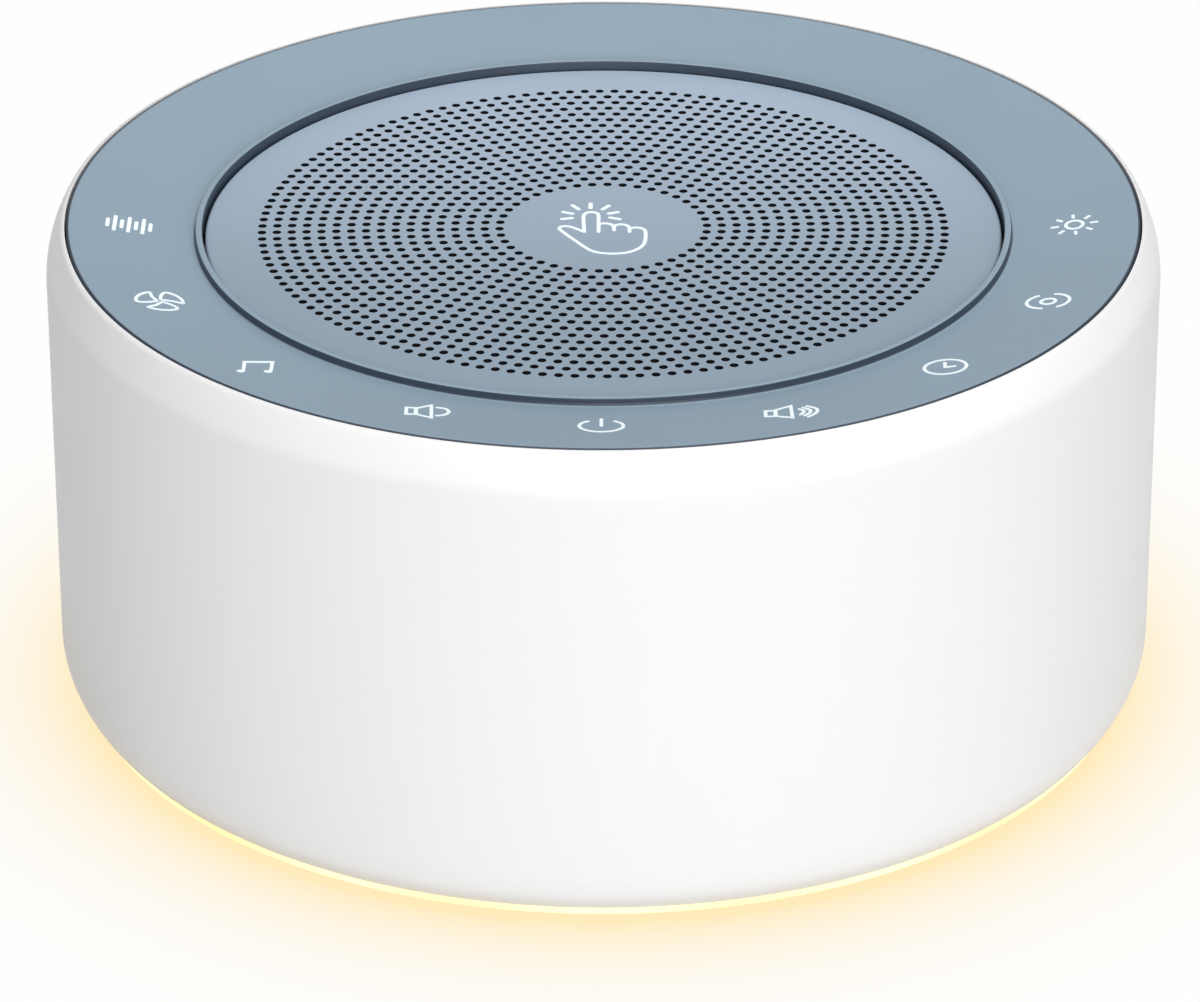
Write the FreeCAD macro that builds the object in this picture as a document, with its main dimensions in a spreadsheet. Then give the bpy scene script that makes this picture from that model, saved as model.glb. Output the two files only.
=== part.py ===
# White noise sound machine: a white drum with a dished touch ring round a perforated
# loudspeaker grille, a warm light ring under the case and a USB-C inlet at the back.
# Millimetres, +Z up, origin on the table under the centre, front (power symbol) towards -Y.

import FreeCAD, Part
import math
import os
import re
import Sketcher
from FreeCAD import Placement, Rotation, Vector

doc = FreeCAD.newDocument("SoundMachine")
sheet = doc.addObject("Spreadsheet::Sheet", "Sizes")

# Driving sizes: name, millimetres (degrees or counts where the note says so), note
drivingSizes = [
    ("caseRadius", 52.0, "outside radius of the drum"),
    ("caseHeight", 45.8, "bottom edge of the drum to its rim"),
    ("caseLift", 1.5, "table to the bottom edge of the drum"),
    ("caseWall", 2.2, "moulded wall"),
    ("cutOver", 1.0, "how far a cut runs on past the face that it opens"),
    ("rimCurve", 9.9, "large radius of the shoulder"),
    ("rimSweep", 30.0, "degrees turned on the large radius"),
    ("rimRound", 0.6, "small radius that ends the shoulder"),
    ("footInset", 1.75, "how far the bottom edge draws in"),
    ("footRise", 4.3, "height over which it draws in"),
    ("deckDepth", 4.8, "rim down to the inner deck"),
    ("deckThick", 2.0, "inner deck"),
    ("edgeGap", 0.15, "touch ring to drum"),
    ("panelFall", 1.7, "how far the touch ring dishes"),
    ("panelSkin", 1.7, "touch ring thickness at its inner edge"),
    ("skirtWidth", 1.6, "skirts under the touch ring"),
    ("ringWidth", 12.6, "touch ring, outer edge to the inside of the lip"),
    ("lipWidth", 0.65, "raised lip"),
    ("lipRise", 0.65, "lip above the dished face"),
    ("lipFillet", 0.35, "slope at the foot of the lip"),
    ("lipRound", 0.18, "broken edge on the lip"),
    ("tapeThick", 0.3, "foam tape under the skirts"),
    ("grilleGap", 0.25, "grille to lip"),
    ("grilleSink", 1.8, "rim down to the grille face"),
    ("grilleThick", 1.0, "grille sheet"),
    ("grilleRound", 1.2, "rolled edge of the grille"),
    ("holePitch", 5.3, "distance between rings of holes"),
    ("holeAcross", 2.4, "hole across its corners"),
    ("holeMargin", 1.5, "outermost holes to the rolled edge"),
    ("firstRing", 2, "first ring of holes, a count of pitches"),
    ("screenThick", 0.3, "dust screen"),
    ("touchBoardThick", 1.0, "touch circuit board"),
    ("boardGap", 0.5, "touch board to the skirts"),
    ("mouthLand", 0.3, "loudspeaker bosses to the mouth in the deck"),
    ("gasketThick", 0.5, "foam gasket"),
    ("flangeSetIn", 4.9, "lip to the edge of the loudspeaker flange"),
    ("basketThick", 0.8, "pressed basket sheet"),
    ("basketDepth", 13.8, "flange face to the motor"),
    ("landGap", 0.7, "mouth in the deck to the glued land of the surround"),
    ("basketWaist", 17.2, "basket at the centring disc"),
    ("shelfWidth", 1.8, "shelf for the centring disc"),
    ("basketNeck", 9.5, "hole in the basket floor"),
    ("shelfDepth", 10.4, "flange face to the centring disc's shelf"),
    ("windowWidth", 14.0, "windows in the basket"),
    ("windowCount", 4, "number of windows"),
    ("screwSetIn", 2.8, "edge of the flange to its screws"),
    ("topPlateThick", 3.0, "front plate of the motor"),
    ("topPlateSetIn", 3.0, "edge of the ferrite ring to the front plate"),
    ("magnetSetIn", 5.4, "mouth of the basket to the edge of the ferrite ring"),
    ("motorClear", 3.6, "main board to the motor, which fills the height above it"),
    ("backPlateSetIn", 2.0, "edge of the ferrite ring to the back plate"),
    ("backPlateThick", 3.0, "back plate"),
    ("poleRadius", 6.2, "pole piece"),
    ("ventRadius", 1.8, "vent through the pole"),
    ("coilGap", 0.35, "running gap inside the coil and round it"),
    ("formerThick", 0.25, "paper tube of the coil"),
    ("windingThick", 0.5, "copper winding"),
    ("windingHeight", 5.0, "copper winding"),
    ("rollSpan", 3.6, "cone to basket, bridged by the surround"),
    ("coneRim", 1.4, "flat rim of the cone"),
    ("coneThick", 0.5, "paper cone"),
    ("coneDrop", 8.3, "rim of the cone to its neck"),
    ("capRadius", 8.6, "dust cap"),
    ("capRise", 2.8, "dust cap"),
    ("rollRadius", 1.85, "half roll of the surround"),
    ("surroundThick", 0.4, "rubber surround"),
    ("landWidth", 1.9, "glued land of the surround"),
    ("spiderThick", 0.35, "centring disc"),
    ("spiderWave", 0.6, "half height of its corrugations"),
    ("spiderWaves", 4, "number of its half corrugations"),
    ("terminalWidth", 10.0, "loudspeaker terminal strip"),
    ("terminalHeight", 5.6, "loudspeaker terminal strip"),
    ("baseLift", 0.6, "table to the base cover"),
    ("baseThick", 2.0, "base cover plate"),
    ("baseRim", 1.5, "rim wall of the base cover"),
    ("lightGap", 0.2, "light ring to base cover and drum"),
    ("lightSetIn", 0.35, "drum's bottom edge to the light ring"),
    ("lightWidth", 3.3, "light ring"),
    ("lightRise", 2.5, "upstand above the drum's bottom edge"),
    ("ledHeight", 0.7, "light emitters"),
    ("ledLength", 3.0, "light emitters"),
    ("ledWidth", 1.3, "light emitters"),
    ("ledCount", 12, "number of emitters"),
    ("ledTurn", 15.0, "degrees from +X to the first of them"),
    ("ledBoardThick", 1.0, "lamp board"),
    ("pillarGap", 0.4, "lamp board to the base screw pillars"),
    ("pillarRadius", 3.5, "base screw pillars"),
    ("pillarWeb", 1.4, "web between pillar and wall"),
    ("padRise", 2.0, "screw pads above the base plate"),
    ("baseScrewRadius", 1.5, "base screws"),
    ("baseScrewLength", 10.0, "base screws"),
    ("baseHeadRadius", 2.8, "base screw heads"),
    ("baseHeadHeight", 1.6, "base screw heads"),
    ("footSetIn", 8.4, "edge of the base cover to the middle of a foot"),
    ("footRadius", 5.0, "rubber feet"),
    ("footCount", 4, "rubber feet, a count"),
    ("footSeat", 0.8, "depth of the recess for a foot"),
    ("standoffRadius", 3.0, "board standoffs"),
    ("standoffHeight", 4.4, "board standoffs above the base plate"),
    ("standoffSideIn", 13.0, "edge of the main board to the standoffs, at the sides"),
    ("standoffEndIn", 18.0, "edge of the main board to the standoffs, front and back"),
    ("boardClear", 1.5, "main board to the pillars"),
    ("mainBoardThick", 1.6, "main board"),
    ("tabWidth", 22.0, "tab of the main board under the inlet"),
    ("tabClear", 1.4, "end of that tab to the drum wall"),
    ("smallScrewRadius", 1.1, "board, panel and loudspeaker screws"),
    ("smallScrewLength", 4.0, "their shanks"),
    ("smallHeadRadius", 2.1, "their heads"),
    ("smallHeadHeight", 1.3, "their heads"),
    ("screwClear", 0.1, "radial clearance round screws"),
    ("screwBite", 0.01, "pilot holes over the screws' own radius"),
    ("screwCount", 4, "screws in each ring"),
    ("screwTurn", 45.0, "degrees from +X to the first pillar and the first loudspeaker screw"),
    ("panelScrewTurn", 22.5, "degrees from +X to the first of them"),
    ("bossRadius", 2.4, "bosses for the small screws"),
    ("bossRise", 1.5, "loudspeaker screw bosses on the deck"),
    ("inletWidth", 8.94, "USB-C shell"),
    ("inletHeight", 3.2, "USB-C shell"),
    ("inletLength", 7.35, "USB-C shell"),
    ("inletWall", 0.3, "USB-C shell"),
    ("tongueWidth", 6.7, "contact tongue"),
    ("tongueThick", 0.7, "contact tongue"),
    ("tongueSetIn", 1.0, "mouth of the shell to its tongue"),
    ("inletClear", 0.2, "drum to USB-C shell"),
    ("recessWidth", 12.6, "plug recess in the drum"),
    ("recessHeight", 6.8, "plug recess in the drum"),
    ("recessDepth", 0.9, "plug recess in the drum"),
    ("ribbonWidth", 12.0, "ribbon cable"),
    ("ribbonThick", 0.3, "ribbon cable"),
    ("ribbonSetIn", 3.6, "drum wall to the ribbon's long run"),
    ("ribbonBend", 3.0, "bends of the ribbon"),
    ("plugSetIn", 5.0, "edge of the main board to its sockets"),
    ("ribbonSocketWidth", 3.4, "ribbon socket"),
    ("ribbonSocketEnd", 1.5, "ribbon socket beyond each side of the ribbon"),
    ("ribbonSocketHeight", 2.6, "ribbon socket"),
    ("plugLength", 7.5, "plugs of the flat leads"),
    ("plugWidth", 4.0, "plugs of the flat leads"),
    ("plugHeight", 3.6, "plugs of the flat leads"),
    ("leadThick", 1.2, "flat twin leads"),
    ("leadSpacing", 2.4, "flat twin leads across both cores"),
    ("leadBend", 2.0, "bends of the flat leads"),
    ("capacitorRadius", 3.15, "capacitors"),
    ("capacitorHeight", 7.7, "capacitors"),
    ("capacitorSetIn", 12.0, "edge of the main board to the pair of capacitors"),
    ("capacitorSpacing", 9.0, "that pair, centre to centre"),
    ("supplySetIn", 9.0, "edge of the main board to the supply's capacitor and coil"),
    ("supplyAside", 14.0, "the supply's capacitor from the middle"),
    ("coilAside", 8.0, "power coil from the middle"),
    ("coilSide", 6.0, "power coil"),
    ("coilHeight", 3.0, "power coil"),
    ("processorSide", 9.0, "processor"),
    ("chipLength", 5.4, "smaller chips"),
    ("chipWidth", 4.6, "smaller chips"),
    ("chipHeight", 1.4, "all chips"),
    ("chipSpacing", 20.0, "smaller chips, centre to centre"),
    ("contactWidth", 2.5, "spring contact of the grille"),
    ("contactThick", 0.2, "spring contact of the grille"),
]

# Radii that follow from them, from the drum inwards: name, formula, note
fittedRadii = [
    ("innerRadius", "caseRadius - caseWall", "inside of the drum wall"),
    ("footRadiusOut", "caseRadius - footInset", "bottom edge of the drum"),
    ("shoulderRadius", "caseRadius - rimCurve * (1 - cos(rimSweep))", "end of the large shoulder curve"),
    ("rimRadius", "shoulderRadius - rimRound * cos(rimSweep)", "mouth of the drum"),
    ("panelRadius", "rimRadius - edgeGap", "touch ring"),
    ("lipRadius", "panelRadius - ringWidth", "inside of the raised lip"),
    ("lipOutRadius", "lipRadius + lipWidth", "outside of the raised lip"),
    ("skirtRadius", "lipRadius + skirtWidth", "inner skirt of the touch ring"),
    ("rimSkirtRadius", "panelRadius - skirtWidth", "outer skirt of the touch ring"),
    ("panelScrewCircle", "(lipRadius + panelRadius) / 2", "screws that hold the touch ring"),
    ("grilleRadius", "lipRadius - grilleGap", "grille"),
    ("flangeRadius", "lipRadius - flangeSetIn", "loudspeaker flange"),
    ("screwCircle", "flangeRadius - screwSetIn", "loudspeaker screws"),
    ("deckOpening", "screwCircle - bossRadius - mouthLand", "loudspeaker mouth in the deck"),
    ("basketBore", "deckOpening - landGap - landWidth", "mouth of the basket"),
    ("basketFoot", "basketWaist - shelfWidth", "basket at the motor"),
    ("terminalRadius", "basketBore + 2 * basketThick", "loudspeaker terminals"),
    ("magnetRadius", "basketBore - magnetSetIn", "ferrite ring"),
    ("coneRadius", "basketBore - rollSpan", "paper cone"),
    ("coneInRadius", "coneRadius - coneRim", "paper cone inside its flat rim"),
    ("lightRadius", "footRadiusOut - lightSetIn", "light ring"),
    ("lightInRadius", "lightRadius - lightWidth", "inside of the light ring"),
    ("lightWallRadius", "footRadiusOut - caseWall", "upstand of the light ring"),
    ("baseRadius", "lightInRadius - lightGap", "base cover"),
    ("lampBoardInRadius", "baseRadius - baseRim", "inside of the lamp board"),
    ("lampBoardRadius", "innerRadius - boardGap - edgeGap", "outside of the lamp board"),
    ("pillarCircle", "lampBoardInRadius - pillarGap - pillarRadius", "base screw pillars"),
    ("footCircle", "baseRadius - footSetIn", "rubber feet"),
    ("mainBoardRadius", "pillarCircle - pillarRadius - boardClear", "main board"),
    ("standoffAcross", "mainBoardRadius - standoffSideIn", "standoffs, half the distance across"),
    ("standoffDeep", "mainBoardRadius - standoffEndIn", "standoffs, half the distance front to back"),
    ("socketCircle", "mainBoardRadius - plugSetIn", "sockets near the edge of the main board"),
    ("ribbonRadius", "innerRadius - ribbonSetIn", "long run of the ribbon"),
]

namedSizes = drivingSizes + [(alias, "=" + formula, note) for alias, formula, note in fittedRadii]
for row, (alias, size, note) in enumerate(namedSizes, 1):
    sheet.set("A%d" % row, note)
    sheet.set("B%d" % row, str(size))
    sheet.setAlias("B%d" % row, alias)
doc.recompute()

aliasPattern = re.compile(r"\b(%s)\b" % "|".join(alias for alias, size, note in namedSizes))


def linked(text):
    # a formula in plain names, with each name tied to its cell
    return aliasPattern.sub(r"Sizes.\1", text)


def number(text):
    return float(sheet.evalExpression(linked(text)))


# Heights that several pieces share, and the radii of the coil
rimZ = "(caseLift + caseHeight)"
shoulderZ = f"({rimZ} - rimCurve * sin(rimSweep) - rimRound * (1 - sin(rimSweep)))"
deckZ = f"({rimZ} - deckDepth)"
deckUnderZ = f"({deckZ} - deckThick)"
dishZ = f"({rimZ} - panelFall)"
lipZ = f"({dishZ} + lipRise)"
panelUnderZ = f"({dishZ} - panelSkin)"
tapeZ = f"({deckZ} + tapeThick)"
grilleZ = f"({rimZ} - grilleSink)"
touchBoardZ = f"({panelUnderZ} - touchBoardThick)"
flangeZ = f"({deckUnderZ} - gasketThick)"
basketUnderZ = f"({flangeZ} - basketThick)"
shelfZ = f"({flangeZ} - shelfDepth)"
motorZ = f"({flangeZ} - basketDepth)"
magnetTopZ = f"({motorZ} - topPlateThick)"
formerInR = "(poleRadius + coilGap)"
formerR = f"({formerInR} + formerThick)"
windingR = f"({formerR} + windingThick)"
topPlateBore = f"({windingR} + coilGap)"
neckZ = f"({flangeZ} - coneThick - coneDrop)"
baseTopZ = "(baseLift + baseThick)"
lightTopZ = "(caseLift + lightRise)"
ledBoardZ = f"({lightTopZ} + lightGap + ledHeight)"
padTopZ = f"({baseTopZ} + padRise)"
mainBoardZ = f"({baseTopZ} + standoffHeight)"
mainTopZ = f"({mainBoardZ} + mainBoardThick)"
motorBackZ = f"({mainTopZ} + motorClear)"
backPlateZ = f"({motorBackZ} + backPlateThick)"
inletZ = f"({mainTopZ} + inletHeight / 2)"
inletFaceY = "(caseRadius - recessDepth)"

nodes = {}


def newBody(label):
    body = doc.addObject("PartDesign::Body", label)
    body.Label = label
    nodes[label] = body
    return body


def newSketch(body, name, plane, offset="0"):
    sketch = body.newObject("Sketcher::SketchObject", name)
    support = [feature for feature in body.Origin.OriginFeatures if feature.Role == plane]
    sketch.AttachmentSupport = [(support[0], "")]
    sketch.MapMode = "FlatFace"
    sketch.AttachmentOffset = Placement(Vector(0, 0, number(offset)), Rotation())
    if offset != "0":
        sketch.setExpression("AttachmentOffset.Base.z", linked(offset))
    return sketch


def limit(sketch, kind, places, text):
    # one dimension of a sketch, tied to the sheet
    index = sketch.addConstraint(Sketcher.Constraint(kind, *places, number(text)))
    sketch.setExpression("Constraints[%d]" % index, linked(text))


def pin(sketch, edge, end, across, up):
    limit(sketch, "DistanceX", (-1, 1, edge, end), across)
    limit(sketch, "DistanceY", (-1, 1, edge, end), up)


def arcEdge(start, end, radius, turn):
    # an arc under a half circle from start to end; turn is 1 to the left, -1 to the right
    chord = end - start
    left = Vector(-chord.y, chord.x, 0).normalize()
    reach = math.sqrt(max(radius ** 2 - (chord.Length / 2) ** 2, 0))
    centre = (start + end) * 0.5 + left * (turn * reach)
    first, last = (start, end) if turn > 0 else (end, start)
    firstAngle = math.atan2(first.y - centre.y, first.x - centre.x)
    lastAngle = math.atan2(last.y - centre.y, last.x - centre.x)
    return Part.ArcOfCircle(Part.Circle(centre, Vector(0, 0, 1), radius), firstAngle, lastAngle)


def outline(sketch, corners):
    # a closed outline; a corner (across, up, radius, turn) leaves by an arc, others by a line
    points = [Vector(number(corner[0]), number(corner[1]), 0) for corner in corners]
    edges = []
    for index, corner in enumerate(corners):
        start, end = points[index], points[(index + 1) % len(points)]
        if len(corner) == 2:
            edge = sketch.addGeometry(Part.LineSegment(start, end))
            edges.append((edge, 1, 2))
        else:
            radius, turn = corner[2:]
            edge = sketch.addGeometry(arcEdge(start, end, number(radius), turn))
            edges.append((edge, 1, 2) if turn > 0 else (edge, 2, 1))
            limit(sketch, "Radius", (edge,), radius)
    for index, (edge, start, end) in enumerate(edges):
        nextEdge, nextStart, nextEnd = edges[(index + 1) % len(edges)]
        sketch.addConstraint(Sketcher.Constraint("Coincident", edge, end, nextEdge, nextStart))
        pin(sketch, edge, start, *corners[index][:2])


def ringOutline(sketch, across, up, radius):
    edge = sketch.addGeometry(Part.Circle(Vector(number(across), number(up), 0), Vector(0, 0, 1),
                                          number(radius)))
    pin(sketch, edge, 3, across, up)
    limit(sketch, "Radius", (edge,), radius)


def box(left, low, right, high):
    return [(left, low), (right, low), (right, high), (left, high)]


def slot(halfWidth, middle, halfHeight, corner):
    # a rectangle about x = 0 with round corners
    inX, inZ = f"({halfWidth} - {corner})", f"({halfHeight} - {corner})"
    return [
        (f"-{inX}", f"{middle} - {halfHeight}"),
        (inX, f"{middle} - {halfHeight}", corner, 1),
        (halfWidth, f"{middle} - {inZ}"),
        (halfWidth, f"{middle} + {inZ}", corner, 1),
        (inX, f"{middle} + {halfHeight}"),
        (f"-{inX}", f"{middle} + {halfHeight}", corner, 1),
        (f"-{halfWidth}", f"{middle} + {inZ}"),
        (f"-{halfWidth}", f"{middle} - {inZ}", corner, 1),
    ]


def turned(label, corners):
    # a piece of revolution about the Z axis, from its half section
    body = newBody(label)
    sketch = newSketch(body, label + "_section", "XZ_Plane")
    outline(sketch, corners)
    turn = body.newObject("PartDesign::Revolution", label + "_turned")
    turn.Profile = sketch
    turn.ReferenceAxis = (sketch, ["V_Axis"])
    turn.Angle = 360
    body.Tip = turn
    return body


def feature(body, kind, name, sketch, length, reverse=False):
    made = body.newObject("PartDesign::" + kind, name)
    made.Profile = sketch
    made.Type = "Length"
    made.Length = number(length)
    made.setExpression("Length", linked(length))
    made.Reversed = reverse
    body.Tip = made
    return made


def padUp(body, name, base, top, shapes):
    # shapes is a list of outlines, or of (across, up, radius) circles, in plan
    sketch = newSketch(body, name + "_plan", "XY_Plane", base)
    drawAll(sketch, shapes)
    return feature(body, "Pad", name, sketch, f"({top}) - ({base})")


def cutDown(body, name, top, bottom, shapes):
    sketch = newSketch(body, name + "_plan", "XY_Plane", top)
    drawAll(sketch, shapes)
    return feature(body, "Pocket", name, sketch, f"({top}) - ({bottom})")


def drawAll(sketch, shapes):
    for shape in shapes:
        if isinstance(shape, tuple):
            ringOutline(sketch, *shape)
        else:
            outline(sketch, shape)


def around(body, original, count):
    # copies of one feature about the Z axis
    pattern = body.newObject("PartDesign::PolarPattern", original.Name + "_ring")
    pattern.Originals = [original]
    pattern.Axis = (original.Profile[0], ["N_Axis"])
    pattern.Angle = 360
    pattern.Occurrences = int(number(count))
    pattern.setExpression("Occurrences", linked(count))
    body.Tip = pattern
    return pattern


def polarX(radius, turn):
    return f"{radius} * cos({turn})"


def polarY(radius, turn):
    return f"{radius} * sin({turn})"


def atTurn(radius, turn, size):
    return (polarX(radius, turn), polarY(radius, turn), size)


# Drum: wall, shoulder and inner deck in one moulding, with pillars, bosses and cut-outs
footCurve = "((footInset^2 + footRise^2) / (2 * footInset))"
drum = turned("outer_housing", [
    ("footRadiusOut", "caseLift", footCurve, 1),
    ("caseRadius", "caseLift + footRise"),
    ("caseRadius", shoulderZ, "rimCurve", 1),
    ("shoulderRadius", f"{shoulderZ} + rimCurve * sin(rimSweep)"),
    ("rimRadius + edgeGap", rimZ),
    ("rimRadius", rimZ),
    ("rimRadius", deckZ),
    ("deckOpening", deckZ),
    ("deckOpening", deckUnderZ),
    ("innerRadius", deckUnderZ),
    ("innerRadius", "caseLift + footRise"),
    ("lightWallRadius + lightGap", "caseLift"),
])
pillar = padUp(drum, "pillar", padTopZ, deckUnderZ, [atTurn("pillarCircle", "screwTurn", "pillarRadius")])
around(drum, pillar, "screwCount")
webStart = f"({ledBoardZ} + ledBoardThick + 2 * lightGap)"
webEnds = [("pillarCircle", "pillarWeb / 2"), ("pillarCircle", "-pillarWeb / 2"),
           ("innerRadius + caseWall / 4", "-pillarWeb / 2"), ("innerRadius + caseWall / 4", "pillarWeb / 2")]
webOutline = [(f"({along}) * cos(screwTurn) - ({aside}) * sin(screwTurn)", f"({along}) * sin(screwTurn) + ({aside}) * cos(screwTurn)")
              for along, aside in webEnds]
web = padUp(drum, "pillar_web", webStart, deckUnderZ, [webOutline])
around(drum, web, "screwCount")
pilot = cutDown(drum, "pillar_pilot", f"{padTopZ} + baseScrewLength", padTopZ,
                [atTurn("pillarCircle", "screwTurn", "baseScrewRadius + screwBite")])
around(drum, pilot, "screwCount")
boss = padUp(drum, "speaker_boss", f"{deckZ} - deckThick / 2", f"({deckZ} + bossRise)",
             [atTurn("screwCircle", "screwTurn", "bossRadius")])
around(drum, boss, "screwCount")
bossPilot = cutDown(drum, "speaker_pilot", f"({basketUnderZ} + smallScrewLength + screwClear)", deckUnderZ,
                    [atTurn("screwCircle", "screwTurn", "smallScrewRadius + screwBite")])
around(drum, bossPilot, "screwCount")
panelHole = cutDown(drum, "panel_screw_hole", deckZ, deckUnderZ,
                    [atTurn("panelScrewCircle", "panelScrewTurn", "smallScrewRadius + screwClear")])
around(drum, panelHole, "screwCount")
ribbonSlot = cutDown(drum, "ribbon_slot", deckZ, deckUnderZ,
                     [box("-ribbonRadius - 3 * ribbonThick", "-ribbonWidth / 2 - boardGap",
                          "-ribbonRadius + 3 * ribbonThick", "ribbonWidth / 2 + boardGap")])
inletSlot = newSketch(drum, "inlet_slot_face", "XZ_Plane")
outline(inletSlot, slot("(inletWidth / 2 + inletClear)", inletZ, "(inletHeight / 2 + inletClear)",
                        "(inletHeight / 2.2)"))
feature(drum, "Pocket", "inlet_slot", inletSlot, "caseRadius + cutOver")
recessFace = newSketch(drum, "plug_recess_face", "XZ_Plane", "-(caseRadius - recessDepth)")
outline(recessFace, slot("(recessWidth / 2)", inletZ, "(recessHeight / 2)", "(recessHeight / 2.2)"))
feature(drum, "Pocket", "plug_recess", recessFace, "recessDepth + cutOver")

# Touch ring: dished face, raised lip round the grille, flat underside for the touch board
panel = turned("touch_panel", [
    ("lipRadius", tapeZ),
    ("skirtRadius", tapeZ),
    ("skirtRadius", panelUnderZ),
    ("rimSkirtRadius", panelUnderZ),
    ("rimSkirtRadius", tapeZ),
    ("panelRadius", tapeZ),
    ("panelRadius", f"{rimZ} - edgeGap"),
    ("panelRadius - edgeGap", rimZ),
    ("lipOutRadius + lipFillet", dishZ),
    ("lipOutRadius", f"{dishZ} + lipFillet"),
    ("lipOutRadius", f"{lipZ} - lipRound"),
    ("lipOutRadius - lipRound", lipZ),
    ("lipRadius", lipZ),
])
panelBoss = padUp(panel, "panel_boss", deckZ, f"({panelUnderZ} + panelSkin / 2)",
                  [atTurn("panelScrewCircle", "panelScrewTurn", "bossRadius")])
around(panel, panelBoss, "screwCount")
panelPilot = cutDown(panel, "panel_pilot", f"({panelUnderZ} + panelSkin / 2)", deckZ,
                     [atTurn("panelScrewCircle", "panelScrewTurn", "smallScrewRadius + screwBite")])
around(panel, panelPilot, "screwCount")
cutDown(panel, "contact_notch", panelUnderZ, tapeZ,
        [box("lipRadius - cutOver", "-contactWidth / 2 - boardGap", "skirtRadius + lipFillet",
             "contactWidth / 2 + boardGap")])

tape = turned("panel_tape", box("lipRadius + edgeGap", deckZ, "skirtRadius", tapeZ))
cutDown(tape, "contact_gap", tapeZ, deckZ,
        [box("lipRadius - cutOver", "-contactWidth / 2 - boardGap", "skirtRadius + lipFillet",
             "contactWidth / 2 + boardGap")])
turned("rim_tape", box("rimSkirtRadius", deckZ, "panelRadius - edgeGap", tapeZ))

touchBoard = turned("touch_board", box("skirtRadius + boardGap", touchBoardZ,
                                       "rimSkirtRadius - boardGap", panelUnderZ))
bossHole = cutDown(touchBoard, "boss_hole", panelUnderZ, touchBoardZ,
                   [atTurn("panelScrewCircle", "panelScrewTurn", "bossRadius + screwClear")])
around(touchBoard, bossHole, "screwCount")

# Spring contact from the touch board to the rim of the grille, so that the grille feels a tap
contact = newBody("grille_contact")
contactSide = newSketch(contact, "contact_side", "XZ_Plane", "-contactWidth / 2")
contactZ = f"({touchBoardZ} - contactThick)"
outline(contactSide, [
    ("grilleRadius + contactThick / 2", contactZ),
    ("skirtRadius + boardGap + 2 * contactWidth", contactZ),
    ("skirtRadius + boardGap + 2 * contactWidth", touchBoardZ),
    ("grilleRadius + 1.5 * contactThick", touchBoardZ),
    ("grilleRadius + 1.5 * contactThick", f"{panelUnderZ} - contactThick"),
    ("grilleRadius + contactThick / 2", f"{panelUnderZ} - contactThick"),
])
feature(contact, "Pad", "contact_strip", contactSide, "contactWidth")

# Grille: a shallow pressed cup whose holes stand in rings, six more holes in each ring
def holeWire(middle, across, turn):
    angles = [turn + math.radians(60 * side) for side in (0, 1, 2, 3, 4, 5, 0)]
    return Part.makePolygon([middle + Vector(math.cos(angle), math.sin(angle), 0) * (across / 2)
                             for angle in angles])


def pressedGrille():
    radius, top, thick = number("grilleRadius"), number(grilleZ), number("grilleThick")
    flatR, low, foot = radius - number("grilleRound"), top - thick, number(deckZ)
    wires = [Part.Wire(Part.makeCircle(flatR, Vector(0, 0, low)))]
    lastRing = int((flatR - number("holeMargin") - number("holeAcross / 2")) / number("holePitch"))
    for ring in range(int(number("firstRing")), lastRing + 1):
        for hole in range(6 * ring):
            turn = math.radians(60.0 * hole / ring)
            middle = Vector(math.cos(turn), math.sin(turn), 0) * (ring * number("holePitch"))
            wires.append(holeWire(middle + Vector(0, 0, low), number("holeAcross"), turn))
    plate = Part.makeFace(wires, "Part::FaceMakerBullseye").extrude(Vector(0, 0, thick))
    rolled = arcEdge(Vector(radius, top - number("grilleRound"), 0), Vector(flatR, top, 0),
                     number("grilleRound"), 1).toShape()
    corners = [(flatR, top), (flatR, low), (radius - thick, low), (radius - thick, foot), (radius, foot),
               (radius, top - number("grilleRound"))]
    section = Part.Wire([rolled] + [Part.LineSegment(Vector(*start, 0), Vector(*end, 0)).toShape()
                                    for start, end in zip(corners, corners[1:])])
    rim = Part.Face(section)
    rim.rotate(Vector(), Vector(1, 0, 0), 90)
    return plate.fuse(rim.revolve(Vector(), Vector(0, 0, 1), 360)).removeSplitter().Solids[0]


grille = doc.addObject("Part::Feature", "speaker_grille")
grille.Shape = pressedGrille()
grille.Placement = Placement()
nodes["speaker_grille"] = grille

screenTopZ = f"({grilleZ} - grilleThick)"
turned("dust_screen", box("0", f"{screenTopZ} - screenThick",
                          "grilleRadius - grilleThick - grilleGap", screenTopZ))

# Loudspeaker, hung from the deck: gasket, basket, motor, and the moving cone
gasket = turned("speaker_gasket", box("deckOpening", flangeZ, "flangeRadius - gasketThick", deckUnderZ))
gasketHole = cutDown(gasket, "gasket_hole", deckUnderZ, flangeZ,
                     [atTurn("screwCircle", "screwTurn", "smallScrewRadius + 2 * screwClear")])
around(gasket, gasketHole, "screwCount")
slopeZ = f"({flangeZ} - 2 * basketThick)"
basket = turned("speaker_basket", [
    ("flangeRadius", basketUnderZ),
    ("flangeRadius", flangeZ),
    ("basketBore", flangeZ),
    ("basketBore", slopeZ),
    ("basketWaist", f"{shelfZ} + basketThick"),
    ("basketWaist", shelfZ),
    ("basketFoot", shelfZ),
    ("basketFoot", f"{motorZ} + basketThick"),
    ("basketNeck", f"{motorZ} + basketThick"),
    ("basketNeck", motorZ),
    ("basketFoot + basketThick", motorZ),
    ("basketFoot + basketThick", f"{shelfZ} - basketThick"),
    ("basketWaist + basketThick", f"{shelfZ} - basketThick"),
    ("basketBore + basketThick", f"{slopeZ} - basketThick"),
    ("basketBore + basketThick", basketUnderZ),
])
window = cutDown(basket, "window", f"({slopeZ} - basketThick / 2)", f"({shelfZ} + basketThick)",
                 [box("basketWaist + basketThick / 2", "-windowWidth / 2",
                      "basketBore + 2 * basketThick", "windowWidth / 2")])
around(basket, window, "windowCount")
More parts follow.
